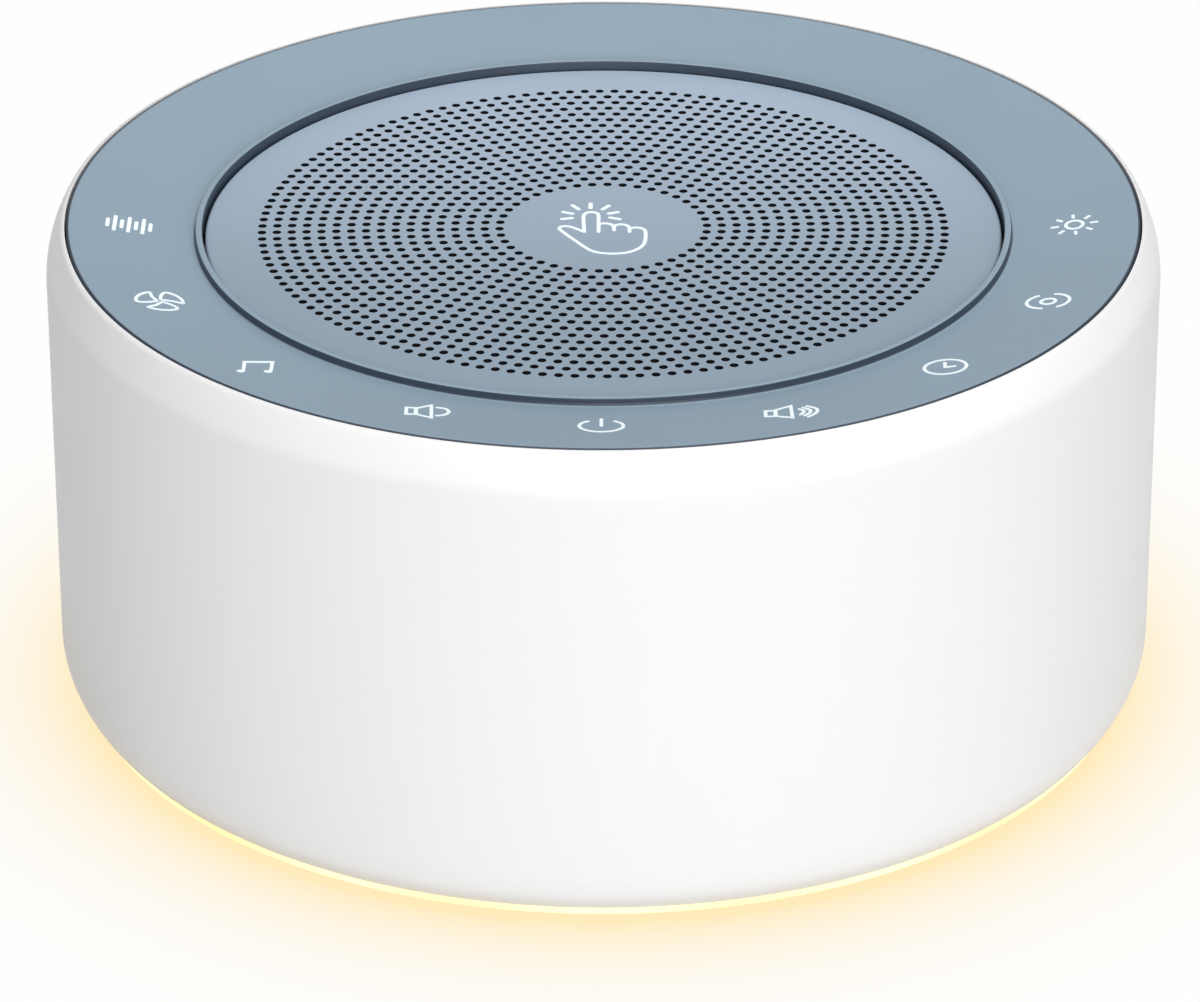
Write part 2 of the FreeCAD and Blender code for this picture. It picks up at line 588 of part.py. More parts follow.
flangeHole = cutDown(basket, "flange_hole", flangeZ, basketUnderZ,
                     [atTurn("screwCircle", "screwTurn", "smallScrewRadius + screwClear")])
around(basket, flangeHole, "screwCount")

turned("top_plate", box(topPlateBore, magnetTopZ, "magnetRadius - topPlateSetIn", motorZ))
turned("speaker_magnet", box("basketNeck", backPlateZ, "magnetRadius", magnetTopZ))
turned("back_plate", [
    ("ventRadius", motorBackZ),
    ("magnetRadius - backPlateSetIn", motorBackZ),
    ("magnetRadius - backPlateSetIn", backPlateZ),
    ("poleRadius", backPlateZ),
    ("poleRadius", motorZ),
    ("ventRadius", motorZ),
])
coilMiddleZ = f"({motorZ} - topPlateThick / 2)"
turned("coil_former", box(formerInR, f"{coilMiddleZ} - windingHeight / 2 - formerThick",
                          formerR, f"{neckZ} + 2 * coneThick"))
turned("coil_winding", box(formerR, f"{coilMiddleZ} - windingHeight / 2",
                           windingR, f"{coilMiddleZ} + windingHeight / 2"))
turned("speaker_cone", [
    (formerR, neckZ),
    ("coneInRadius", f"{flangeZ} - coneThick"),
    ("coneRadius", f"{flangeZ} - coneThick"),
    ("coneRadius", flangeZ),
    ("coneInRadius", flangeZ),
    (formerR, f"{neckZ} + coneThick"),
])
capZ = f"({neckZ} + coneThick + (capRadius - {formerR}) / (coneInRadius - {formerR}) * coneDrop)"
turned("dust_cap", [
    ("capRadius", capZ, "((capRadius^2 + capRise^2) / (2 * capRise))", 1),
    ("0", f"{capZ} + capRise"),
    ("0", f"{capZ} + capRise - coneThick", "(((capRadius - coneThick)^2 + (capRise - coneThick)^2)"
     " / (2 * (capRise - coneThick)))", -1),
    ("capRadius - coneThick", capZ),
])
rollR = "((coneRadius + basketBore) / 2)"
rollSlope = "(rollRadius / 2)"
turned("cone_surround", [
    ("coneInRadius", flangeZ),
    (f"{rollR} - rollRadius + surroundThick", flangeZ),
    (f"{rollR} - {rollSlope}", f"{flangeZ} + rollRadius - surroundThick"),
    (f"{rollR} + {rollSlope}", f"{flangeZ} + rollRadius - surroundThick"),
    (f"{rollR} + rollRadius - surroundThick", flangeZ),
    ("basketBore + landWidth", flangeZ),
    ("basketBore + landWidth", f"{flangeZ} + surroundThick"),
    (f"{rollR} + rollRadius - surroundThick / 2", f"{flangeZ} + surroundThick"),
    (f"{rollR} + {rollSlope}", f"{flangeZ} + rollRadius"),
    (f"{rollR} - {rollSlope}", f"{flangeZ} + rollRadius"),
    (f"{rollR} - rollRadius + surroundThick / 2", f"{flangeZ} + surroundThick"),
    ("coneInRadius", f"{flangeZ} + surroundThick"),
])
# centring disc: corrugated from the coil's tube out to its land on the basket's shelf
waveCount = int(number("spiderWaves"))
waveLow = []
for step in range(waveCount + 1):
    swing = "0" if step in (0, waveCount) else ("spiderWave" if step % 2 else "-spiderWave")
    waveLow.append((f"{formerR} + {step / waveCount} * (basketFoot + basketThick / 2 - {formerR})",
                    f"{shelfZ} + {swing}"))
waveHigh = [(across, f"{up} + spiderThick") for across, up in reversed(waveLow)]
land = [("basketWaist - spiderThick", shelfZ), ("basketWaist - spiderThick", f"{shelfZ} + spiderThick")]
turned("cone_spider", waveLow + land + waveHigh)

terminal = newBody("terminal_strip")
padUp(terminal, "strip", f"({basketUnderZ} - terminalHeight)", basketUnderZ,
      [box("-terminalWidth / 2", "-terminalRadius - basketThick", "terminalWidth / 2", "-terminalRadius")])

# Base: cover, feet, light ring, lamp board
base = turned("base_cover", [
    ("0", "baseLift"),
    ("baseRadius", "baseLift"),
    ("baseRadius", ledBoardZ),
    ("baseRadius - baseRim", ledBoardZ),
    ("baseRadius - baseRim", baseTopZ),
    ("0", baseTopZ),
])
pad = padUp(base, "screw_pad", f"({baseTopZ} - baseThick / 2)", padTopZ,
            [atTurn("pillarCircle", "screwTurn", "pillarRadius")])
around(base, pad, "screwCount")
standoffs = [(f"{sideX} * standoffAcross", f"{sideY} * standoffDeep") for sideX in (-1, 1) for sideY in (-1, 1)]
padUp(base, "standoff", f"({baseTopZ} - baseThick / 2)", mainBoardZ,
      [(x, y, "standoffRadius") for x, y in standoffs])
cutDown(base, "standoff_pilot", mainBoardZ, baseTopZ,
        [(x, y, "smallScrewRadius + screwBite") for x, y in standoffs])
screwHole = cutDown(base, "screw_hole", padTopZ, "baseLift",
                    [atTurn("pillarCircle", "screwTurn", "baseScrewRadius + screwClear")])
around(base, screwHole, "screwCount")
headSeatZ = f"({padTopZ} - baseThick)"
counterbore = cutDown(base, "counterbore", headSeatZ, "baseLift",
                      [atTurn("pillarCircle", "screwTurn", "baseHeadRadius + 2 * screwClear")])
around(base, counterbore, "screwCount")
footSeatZ = "(baseLift + footSeat)"
footSeat = cutDown(base, "foot_seat", footSeatZ, "baseLift", [("footCircle", "0", "footRadius + screwClear")])
around(base, footSeat, "footCount")

turned("light_ring", [
    ("lightInRadius", "baseLift"),
    ("lightRadius - lightGap", "baseLift"),
    ("lightRadius", "baseLift + lightGap"),
    ("lightRadius", "caseLift"),
    ("lightWallRadius", "caseLift"),
    ("lightWallRadius", lightTopZ),
    ("lightInRadius", lightTopZ),
])
lampTopZ = f"({ledBoardZ} + ledBoardThick)"
turned("lamp_board", box("lampBoardInRadius", ledBoardZ, "lampBoardRadius", lampTopZ))

# Main board on its standoffs, with a tab that carries the inlet
mainBoard = newBody("main_board")
padUp(mainBoard, "board_disc", mainBoardZ, mainTopZ, [("0", "0", "mainBoardRadius")])
padUp(mainBoard, "board_tab", mainBoardZ, mainTopZ,
      [box("-tabWidth / 2", "mainBoardRadius / 2", "tabWidth / 2", "innerRadius - tabClear")])
cutDown(mainBoard, "board_hole", mainTopZ, mainBoardZ,
        [(x, y, "smallScrewRadius + screwClear") for x, y in standoffs])

inlet = newBody("usb_inlet")
inletFace = newSketch(inlet, "shell_face", "XZ_Plane", f"-{inletFaceY}")
outline(inletFace, slot("(inletWidth / 2)", inletZ, "(inletHeight / 2)", "(inletHeight / 2.2)"))
feature(inlet, "Pad", "shell", inletFace, "inletLength")
mouth = newSketch(inlet, "mouth_face", "XZ_Plane", f"-{inletFaceY} + inletLength - inletWall")
outline(mouth, slot("(inletWidth / 2 - inletWall)", inletZ, "(inletHeight / 2 - inletWall)",
                    "(inletHeight / 2.2 - inletWall)"))
feature(inlet, "Pocket", "mouth", mouth, "inletLength")
tongue = newSketch(inlet, "tongue_face", "XZ_Plane", f"-{inletFaceY} + tongueSetIn")
outline(tongue, box("-tongueWidth / 2", f"{inletZ} - tongueThick / 2",
                    "tongueWidth / 2", f"{inletZ} + tongueThick / 2"))
feature(inlet, "Pad", "tongue", tongue, "inletLength - tongueSetIn - inletWall / 2")

# Ribbon cable from the touch board, through the deck, down the wall and in to its socket
ribbon = newBody("touch_ribbon")
ribbonSide = newSketch(ribbon, "ribbon_side", "XZ_Plane", "-ribbonWidth / 2")
ribbonEndZ = f"({mainTopZ} + ribbonSocketHeight)"
runZ = f"({ribbonEndZ} + 2 * ribbonBend)"
bendOut, bendIn = "(ribbonBend + ribbonThick)", "ribbonBend"
outline(ribbonSide, [
    ("-ribbonRadius", touchBoardZ),
    ("-ribbonRadius - ribbonThick", touchBoardZ),
    ("-ribbonRadius - ribbonThick", f"{runZ} + ribbonBend", bendOut, 1),
    ("-ribbonRadius + ribbonBend", f"{runZ} - ribbonThick"),
    ("-socketCircle - ribbonBend", f"{runZ} - ribbonThick", "(ribbonBend - ribbonThick)", -1),
    ("-socketCircle - ribbonThick", f"{runZ} - ribbonBend"),
    ("-socketCircle - ribbonThick", ribbonEndZ),
    ("-socketCircle", ribbonEndZ),
    ("-socketCircle", f"{runZ} - ribbonBend", "ribbonBend", 1),
    ("-socketCircle - ribbonBend", runZ),
    ("-ribbonRadius + ribbonBend", runZ, bendIn, -1),
    ("-ribbonRadius", f"{runZ} + ribbonBend"),
])
feature(ribbon, "Pad", "ribbon_strip", ribbonSide, "ribbonWidth")


def blocks(label, rows):
    # parts soldered to a board: (middle x, middle y, low z, length, width, height)
    pieces = []
    for index, (x, y, low, length, width, height) in enumerate(rows):
        piece = doc.addObject("Part::Box", "%s_%d" % (label, index + 1))
        for side, text in (("Length", length), ("Width", width), ("Height", height)):
            piece.setExpression(side, linked(text))
        piece.setExpression("Placement.Base.x", linked(f"{x} - ({length}) / 2"))
        piece.setExpression("Placement.Base.y", linked(f"{y} - ({width}) / 2"))
        piece.setExpression("Placement.Base.z", linked(low))
        pieces.append(piece)
    joinNode(label, pieces)


def drums(label, rows):
    # upright cylinders: (middle x, middle y, low z, radius, height)
    pieces = []
    for index, (x, y, low, radius, height) in enumerate(rows):
        piece = doc.addObject("Part::Cylinder", "%s_%d" % (label, index + 1))
        piece.setExpression("Radius", linked(radius))
        piece.setExpression("Height", linked(height))
        piece.setExpression("Placement.Base.x", linked(x))
        piece.setExpression("Placement.Base.y", linked(y))
        piece.setExpression("Placement.Base.z", linked(low))
        pieces.append(piece)
    joinNode(label, pieces)


def joinNode(label, pieces):
    # several separate solids under one name
    joined = doc.addObject("Part::Compound", label)
    joined.Label = label
    joined.Links = pieces
    nodes[label] = joined


footTurns = ["%d * 360 / footCount" % index for index in range(int(number("footCount")))]
drums("rubber_feet", [(polarX("footCircle", turn), polarY("footCircle", turn), "0", "footRadius", footSeatZ)
                      for turn in footTurns])
pairX, pairY = "-(mainBoardRadius - capacitorSetIn)", "capacitorSpacing / 2"
drums("capacitors", [(x, y, mainTopZ, "capacitorRadius", "capacitorHeight")
                     for x, y in ((pairX, pairY), (pairX, "-" + pairY),
                                  ("supplyAside", "-(mainBoardRadius - supplySetIn)"))])
blocks("board_chips", [("0", "0", mainTopZ, "processorSide", "processorSide", "chipHeight")]
       + [(f"{sideX} * chipSpacing / 2", f"{sideY} * chipSpacing / 2", mainTopZ,
           "chipLength", "chipWidth", "chipHeight") for sideX, sideY in ((-1, 1), (1, -1), (-1, -1))])
blocks("power_coil", [("coilAside", "mainBoardRadius - supplySetIn", mainTopZ,
                       "coilSide", "coilSide", "coilHeight")])
blocks("ribbon_socket", [("-socketCircle", "0", mainTopZ, "ribbonSocketWidth",
                          "ribbonWidth + 2 * ribbonSocketEnd", "ribbonSocketHeight")])
speakerPlugY = "(terminalRadius + basketThick)"
blocks("speaker_plug", [("0", f"-{speakerPlugY}", mainTopZ, "plugLength", "plugWidth", "plugHeight")])
blocks("lamp_plug", [("socketCircle", "0", mainTopZ, "plugWidth", "plugLength", "plugHeight")])


def copiesAround(label, piece, circle, firstTurn, count):
    # identical pieces on a circle about the Z axis, each its own solid
    shapes = []
    for index in range(count):
        shape = piece.copy()
        shape.translate(Vector(number(circle), 0, 0))
        shape.rotate(Vector(), Vector(0, 0, 1), number(firstTurn) + 360.0 * index / count)
        shapes.append(shape)
    addShapes(label, shapes)


def addShapes(label, shapes):
    node = doc.addObject("Part::Feature", label)
    node.Label = label
    node.Shape = Part.makeCompound(shapes)
    node.Placement = Placement()
    nodes[label] = node


def screw(headZ, upwards, radius, length, headRadius, headHeight):
    # a pan-head screw; headZ is the face its head bears on
    shank = Part.makeCylinder(radius, length)
    whole = shank.fuse(Part.makeCylinder(headRadius, headHeight, Vector(0, 0, -headHeight)))
    if not upwards:
        whole.rotate(Vector(), Vector(1, 0, 0), 180)
    whole.translate(Vector(0, 0, headZ))
    return whole


screwCount = int(number("screwCount"))
small = [number(name) for name in ("smallScrewRadius", "smallScrewLength", "smallHeadRadius", "smallHeadHeight")]
baseScrew = screw(number(headSeatZ), True, number("baseScrewRadius"), number("baseScrewLength"),
                  number("baseHeadRadius"), number("baseHeadHeight"))
copiesAround("base_screws", baseScrew, "pillarCircle", "screwTurn", screwCount)
speakerScrew = screw(number(basketUnderZ), True, *small)
copiesAround("speaker_screws", speakerScrew, "screwCircle", "screwTurn", screwCount)
panelScrew = screw(number(deckUnderZ), True, *small)
copiesAround("panel_screws", panelScrew, "panelScrewCircle", "panelScrewTurn", screwCount)
boardScrew = screw(number(mainTopZ), False, *small)
boardScrews = []
for x, y in standoffs:
    shape = boardScrew.copy()
    shape.translate(Vector(number(x), number(y), 0))
    boardScrews.append(shape)
addShapes("board_screws", boardScrews)

emitterWidth, emitterLength, emitterHeight = [number(name) for name in ("ledWidth", "ledLength", "ledHeight")]
emitter = Part.makeBox(emitterWidth, emitterLength, emitterHeight,
                       Vector(-emitterWidth / 2, -emitterLength / 2, number(ledBoardZ) - emitterHeight))
copiesAround("light_emitters", emitter, "(lightInRadius + lightWallRadius) / 2", "ledTurn", int(number("ledCount")))


def flatLead(label, side, corners):
    # a flat twin lead, drawn from the side and as wide as its two cores
    body = newBody(label)
    plane = newSketch(body, label + "_side", side, "-leadSpacing / 2")
    outline(plane, corners)
    feature(body, "Pad", label + "_strip", plane, "leadSpacing")


plugTopZ = f"({mainTopZ} + plugHeight)"
stripMiddle = "(terminalRadius + basketThick / 2)"
flatLead("speaker_leads", "YZ_Plane", [
    (f"-{stripMiddle} - leadThick / 2", f"{basketUnderZ} - terminalHeight"),
    (f"-{stripMiddle} - leadThick / 2", f"{plugTopZ} + 2 * leadBend"),
    (f"-{speakerPlugY} - leadThick / 2", f"{plugTopZ} + leadBend"),
    (f"-{speakerPlugY} - leadThick / 2", plugTopZ),
    (f"-{speakerPlugY} + leadThick / 2", plugTopZ),
    (f"-{speakerPlugY} + leadThick / 2", f"{plugTopZ} + leadBend"),
    (f"-{stripMiddle} + leadThick / 2", f"{plugTopZ} + 2 * leadBend"),
    (f"-{stripMiddle} + leadThick / 2", f"{basketUnderZ} - terminalHeight"),
])
lampEndX = "(lampBoardInRadius + leadThick)"
flatLead("lamp_leads", "XZ_Plane", [
    ("socketCircle - leadThick / 2", plugTopZ),
    ("socketCircle + leadThick / 2", plugTopZ),
    ("socketCircle + leadThick / 2", f"{plugTopZ} + leadBend", "leadBend", -1),
    ("socketCircle + leadThick / 2 + leadBend", f"{plugTopZ} + 2 * leadBend"),
    (f"{lampEndX} - leadThick / 2 - leadBend", f"{plugTopZ} + 2 * leadBend", "leadBend", -1),
    (f"{lampEndX} - leadThick / 2", f"{plugTopZ} + leadBend"),
    (f"{lampEndX} - leadThick / 2", lampTopZ),
    (f"{lampEndX} + leadThick / 2", lampTopZ),
    (f"{lampEndX} + leadThick / 2", f"{plugTopZ} + leadBend", "(leadBend + leadThick)", 1),
    (f"{lampEndX} - leadThick / 2 - leadBend", f"{plugTopZ} + 2 * leadBend + leadThick"),
    ("socketCircle + leadThick / 2 + leadBend", f"{plugTopZ} + 2 * leadBend + leadThick",
     "(leadBend + leadThick)", 1),
    ("socketCircle - leadThick / 2", f"{plugTopZ} + leadBend"),
])

doc.recompute()

for item in doc.Objects:
    if "Invalid" in item.State or "Error" in item.State:
        raise RuntimeError("%s did not build: %s" % (item.Label, item.State))

os.makedirs("parts", exist_ok=True)
for label, node in nodes.items():
    if node.Shape.isNull() or not node.Shape.isValid() or not node.Shape.Solids:
        raise RuntimeError("%s has no valid solid" % label)
    node.Shape.exportStep("parts/%s.step" % label)
    print("%-16s %2d solid(s) %9.1f mm3" % (label, len(node.Shape.Solids), node.Shape.Volume))
print("%d nodes written" % len(nodes))
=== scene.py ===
import math
import bmesh
import bpy
from mathutils import Matrix, Vector
from mathutils.geometry import delaunay_2d_cdt


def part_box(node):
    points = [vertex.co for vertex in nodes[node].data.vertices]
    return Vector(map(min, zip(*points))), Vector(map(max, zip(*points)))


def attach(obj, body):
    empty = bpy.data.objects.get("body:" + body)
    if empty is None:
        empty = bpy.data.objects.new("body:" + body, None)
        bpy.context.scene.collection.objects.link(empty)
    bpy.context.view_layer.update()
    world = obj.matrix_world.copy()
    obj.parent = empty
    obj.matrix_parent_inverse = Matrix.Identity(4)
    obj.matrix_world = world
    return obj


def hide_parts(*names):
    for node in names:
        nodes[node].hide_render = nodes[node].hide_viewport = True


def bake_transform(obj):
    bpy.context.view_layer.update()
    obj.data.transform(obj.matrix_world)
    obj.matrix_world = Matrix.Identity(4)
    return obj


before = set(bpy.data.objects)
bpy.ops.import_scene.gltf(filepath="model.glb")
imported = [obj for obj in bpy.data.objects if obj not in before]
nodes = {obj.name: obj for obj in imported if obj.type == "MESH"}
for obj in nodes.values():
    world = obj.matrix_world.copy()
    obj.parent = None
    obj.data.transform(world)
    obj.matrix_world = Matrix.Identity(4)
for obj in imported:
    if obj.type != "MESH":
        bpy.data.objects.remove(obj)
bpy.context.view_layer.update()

mm = 0.001

drumLow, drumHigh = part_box("outer_housing")
panelLow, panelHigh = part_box("touch_panel")
grilleLow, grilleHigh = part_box("speaker_grille")
drumR, rimZ, liftZ = drumHigh.x, drumHigh.z, drumLow.z
panelR = panelHigh.x
grilleR, grilleZ, deckZ = grilleHigh.x, grilleHigh.z, grilleLow.z
pitch = drumR / 37.55     # distance between rings of grille holes, as the camera fit gives it

print("scene: frame loaded, drum", round(2000 * drumR, 1), "mm across")


# Shader helpers
def tone(red, green, blue):
    # a screen colour from 0 to 255 as the linear colour a socket takes
    def straight(level):
        level = level / 255
        return level / 12.92 if level <= 0.04045 else ((level + 0.055) / 1.055) ** 2.4
    return (straight(red), straight(green), straight(blue), 1.0)


class Wire:
    # a socket that takes part in sums
    def __init__(self, finish, socket):
        self.finish = finish
        self.socket = socket

    def sum(self, operation, first, second):
        return self.finish.maths(operation, first, second)

    def __add__(self, other):
        return self.sum("ADD", self, other)

    def __radd__(self, other):
        return self.sum("ADD", other, self)

    def __sub__(self, other):
        return self.sum("SUBTRACT", self, other)

    def __rsub__(self, other):
        return self.sum("SUBTRACT", other, self)

    def __mul__(self, other):
        return self.sum("MULTIPLY", self, other)

    def __rmul__(self, other):
        return self.sum("MULTIPLY", other, self)

    def __truediv__(self, other):
        return self.sum("DIVIDE", self, other)

    def __pow__(self, other):
        return self.sum("POWER", self, other)


class Finish:
    # one material, or the world round the machine, being wired up
    def __init__(self, name, owner=bpy.data.materials, output="ShaderNodeOutputMaterial"):
        self.material = owner.new(name)
        self.material.use_nodes = True
        self.tree = self.material.node_tree
        self.tree.nodes.clear()
        self.output = self.tree.nodes.new(output)

    def node(self, kind, settings=None, inputs=None, output=0):
        made = self.tree.nodes.new(kind)
        for key, value in (settings or {}).items():
            if key == "stops":
                ramp = made.color_ramp
                while len(ramp.elements) < len(value):
                    ramp.elements.new(0.5)
                for element, (place, colour) in zip(ramp.elements, value):
                    element.position = place
                    element.color = colour
            else:
                setattr(made, key, value)
        for key, value in (inputs or {}).items():
            if isinstance(value, Wire):
                self.tree.links.new(value.socket, made.inputs[key])
            else:
                made.inputs[key].default_value = value
        return Wire(self, made.outputs[output])

    def maths(self, operation, *values):
        return self.node("ShaderNodeMath", {"operation": operation}, dict(enumerate(values)))

    def surface(self, shader):
        self.tree.links.new(shader.socket, self.output.inputs["Surface"])
        return self.material

    def place(self):
        return self.node("ShaderNodeTexCoord", output="Object")

    def noise(self, scale, detail=3.0, rough=0.55, where=None):
        return self.node("ShaderNodeTexNoise", None, {
            "Vector": where or self.place(), "Scale": scale, "Detail": detail, "Roughness": rough})

    def blend(self, share, first, second):
        return self.node("ShaderNodeMix", {"data_type": "RGBA"}, {0: share, 6: first, 7: second}, 2)

    def between(self, value, low, high, first=0.0, last=1.0):
        return self.node("ShaderNodeMapRange", {"interpolation_type": "SMOOTHSTEP"},
                         {0: value, 1: low, 2: high, 3: first, 4: last})

    def spread(self, noise, low, high, edge=0.2):
        # from low to high over the middle of a noise
        return self.between(noise, edge, 1 - edge, low, high)

    def bump(self, height, distance, strength=1.0, under=None):
        inputs = {"Height": height, "Distance": distance, "Strength": strength}
        if under:
            inputs["Normal"] = under
        return self.node("ShaderNodeBump", None, inputs)

    def axes(self, vector):
        parts = self.node("ShaderNodeSeparateXYZ", None, {0: vector})
        return [Wire(self, socket) for socket in parts.socket.node.outputs]

    def up(self):
        return self.axes(self.place())[2]

    def radius(self):
        # distance from the machine's upright axis
        across, deep = self.axes(self.place())[:2]
        return (across * across + deep * deep) ** 0.5

    def principled(self, **inputs):
        named = {key.replace("_", " "): value for key, value in inputs.items()}
        return self.surface(self.node("ShaderNodeBsdfPrincipled", None, named))


def shade(colour, factor):
    return tuple(channel * factor for channel in colour[:3]) + (1.0,)


def moulded(name, colour, rough, grain=0.35 * mm, depth=0.006 * mm, mottle=0.03):
    # moulded plastic: fine grain in the surface and a slight unevenness of tone and gloss
    finish = Finish(name)
    cloud = finish.noise(60.0, 2.0)
    grainHeight = finish.noise(1 / grain, 2.0, 0.7)
    body = finish.blend(cloud, shade(colour, 1 - mottle), shade(colour, 1 + mottle / 2))
    gloss = finish.spread(cloud, rough - 0.04, rough + 0.04)
    return finish.principled(Base_Color=body, Roughness=gloss,
                             Normal=finish.bump(grainHeight, depth, 0.5))


def brushed(name, colour, rough, stretch=(300.0, 300.0, 4000.0)):
    # worked metal with fine lines along one way
    finish = Finish(name)
    lines = finish.node("ShaderNodeMapping", None, {"Vector": finish.place(), "Scale": stretch})
    streak = finish.noise(4.0, 4.0, 0.6, lines)
    body = finish.blend(streak, shade(colour, 0.82), shade(colour, 1.06))
    return finish.principled(Base_Color=body, Metallic=1.0,
                             Roughness=finish.spread(streak, rough - 0.06, rough + 0.08, 0.3),
                             Normal=finish.bump(streak, 0.004 * mm, 0.4))


def pressedPaper(name, colour, rough=0.85):
    # paper pulp or treated cloth: matt, fibrous
    finish = Finish(name)
    fibre = finish.noise(5200.0, 5.0, 0.75)
    body = finish.blend(fibre, shade(colour, 0.7), shade(colour, 1.25))
    return finish.principled(Base_Color=body, Roughness=rough,
                             Normal=finish.bump(fibre, 0.03 * mm, 0.6))


def wovenCloth(name, colour, thread=0.22 * mm):
    # plain weave drawn by two sets of waves
    finish = Finish(name)
    across, deep = finish.axes(finish.place())[:2]
    turns = 2 * math.pi / thread
    weave = (finish.maths("SINE", across * turns) * finish.maths("SINE", deep * turns) + 1.0) * 0.5
    body = finish.blend(weave, shade(colour, 0.5), shade(colour, 1.4))
    return finish.principled(Base_Color=body, Roughness=0.95,
                             Normal=finish.bump(weave, 0.04 * mm, 0.5))


def circuitBoard(name, mask, copper):
    # solder mask over tracks: the tracks show as a lighter tone of the mask
    finish = Finish(name)
    kind = {"feature": "DISTANCE_TO_EDGE", "distance": "MANHATTAN"}
    cells = finish.node("ShaderNodeTexVoronoi", kind, {"Vector": finish.place(), "Scale": 320.0})
    track = finish.between(cells, 0.06, 0.1, 1.0, 0.0)
    body = finish.blend(track, mask, copper)
    return finish.principled(Base_Color=body, Roughness=0.35,
                             Normal=finish.bump(track, 0.02 * mm, 0.4))


def woundWire(name, colour, turn=0.25 * mm):
    # enamelled wire laid side by side up the coil
    finish = Finish(name)
    wave = finish.maths("SINE", finish.up() * (2 * math.pi / turn))
    body = finish.blend(wave * 0.5 + 0.5, shade(colour, 0.55), colour)
    return finish.principled(Base_Color=body, Metallic=1.0, Roughness=0.3,
                             Normal=finish.bump(wave, 0.05 * mm, 0.7))


# Colours read as they show in daylight
colours = {
    "drum": tone(244, 244, 245),
    # painted highlight: the drum's white made lighter over its shoulder
    "shoulder": tone(254, 254, 254),
    "panel": tone(153, 175, 192),
    "grille": tone(151, 170, 187),
    # painted reflection: the grille's paint made lighter towards the back
    "grilleFarReflection": tone(184, 202, 222),
    # painted shade: the drum's white greyed at its foot
    "paintedFootShade": tone(226, 227, 228),
    # painted shade on the lip's walls and the touch ring's outer edge
    "wallShade": tone(58, 70, 86),
    # painted shade: near-black for the walls of the grille's holes
    "hole": tone(8, 11, 22),
    "print": tone(243, 252, 255),
    "glowBody": (0.9, 0.75, 0.4, 1.0),
    "glowBetween": (1.0, 0.72, 0.26, 1.0),
    "glowNear": (1.0, 0.82, 0.42, 1.0),
}


# Mesh helpers
weld = 1e-7         # points nearer than this count as one
sharpTurn = 32.0    # degrees between two faces from which their edge shows


def arc(middle, radius, start, end, count):
    # points on an arc of a section, degrees, both ends included
    points = []
    for step in range(count + 1):
        angle = math.radians(start + (end - start) * step / count)
        points.append((middle[0] + radius * math.cos(angle), middle[1] + radius * math.sin(angle)))
    return points


def bridge(mesh, first, second, closed=True):
    # quads between two rows of points
    for index in range(len(first) if closed else len(first) - 1):
        onward = (index + 1) % len(first)
        mesh.faces.new((first[index], second[index], second[onward], first[onward]))


def slices(mesh, section, angles, middle=(0.0, 0.0)):
    # a section of (radius, height) points stood up at each angle about an upright axis
    return [[mesh.verts.new((middle[0] + radius * math.cos(angle),
                             middle[1] + radius * math.sin(angle), height))
             for radius, height in section] for angle in angles]


def lathe(mesh, section, steps, closed=True, middle=(0.0, 0.0)):
    # turns a section all the way round
    rings = slices(mesh, section, [2 * math.pi * step / steps for step in range(steps)], middle)
    for step in range(steps):
        bridge(mesh, rings[step], rings[(step + 1) % steps], closed)
    bmesh.ops.remove_doubles(mesh, verts=mesh.verts, dist=weld)


def toMesh(name, mesh):
    data = bpy.data.meshes.new(name)
    mesh.to_mesh(data)
    mesh.free()
    return data


def toObject(name, data):
    made = bpy.data.objects.new(name, data)
    bpy.context.scene.collection.objects.link(made)
    return made


def piece(name, mesh, finish, slot, replaced=None, body="chassis", sharp=sharpTurn, outward=True):
    # a shown piece: finish is a material or a list of them, and replaced is the node it stands for
    if outward:
        bmesh.ops.recalc_face_normals(mesh, faces=mesh.faces)
    data = toMesh(name, mesh)
    data.shade_smooth()
    data.set_sharp_from_angle(angle=math.radians(sharp))
    made = toObject(name, data)
    for material in finish if isinstance(finish, list) else [finish]:
        data.materials.append(material)
    if body:
        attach(made, body)
    if replaced:
        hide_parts(replaced)
    return made


# Camera: fitted to the rings of grille holes
cameraSet = {
    "lens": 193.98, "sensor": 36.0,         # millimetres
    "nearest": 0.01,                        # metres from which it sees
    "elevation": 27.056,                    # degrees below the horizon that it looks
    "turn": 0.0024,                         # radians of roll
    "place": (-0.268, -396.78, 181.91),     # in hole pitches from the middle of the grille
}


def makeCamera():
    data = bpy.data.cameras.new("view")
    data.lens = cameraSet["lens"]
    data.sensor_width = cameraSet["sensor"]
    data.clip_start = cameraSet["nearest"]
    camera = toObject("view", data)
    down = math.radians(cameraSet["elevation"])
    rise = Vector((0, math.sin(down), math.cos(down)))
    side = Vector((1, 0, 0))
    back = Vector((0, -math.cos(down), math.sin(down)))
    cosine, sine = math.cos(cameraSet["turn"]), math.sin(cameraSet["turn"])
    right = side * cosine - rise * sine
    up = side * sine + rise * cosine
    spot = Vector(cameraSet["place"]) * pitch + Vector((0, 0, grilleZ))
    camera.matrix_world = Matrix.Translation(spot) @ Matrix((right, up, back)).transposed().to_4x4()
    bpy.context.scene.camera = camera


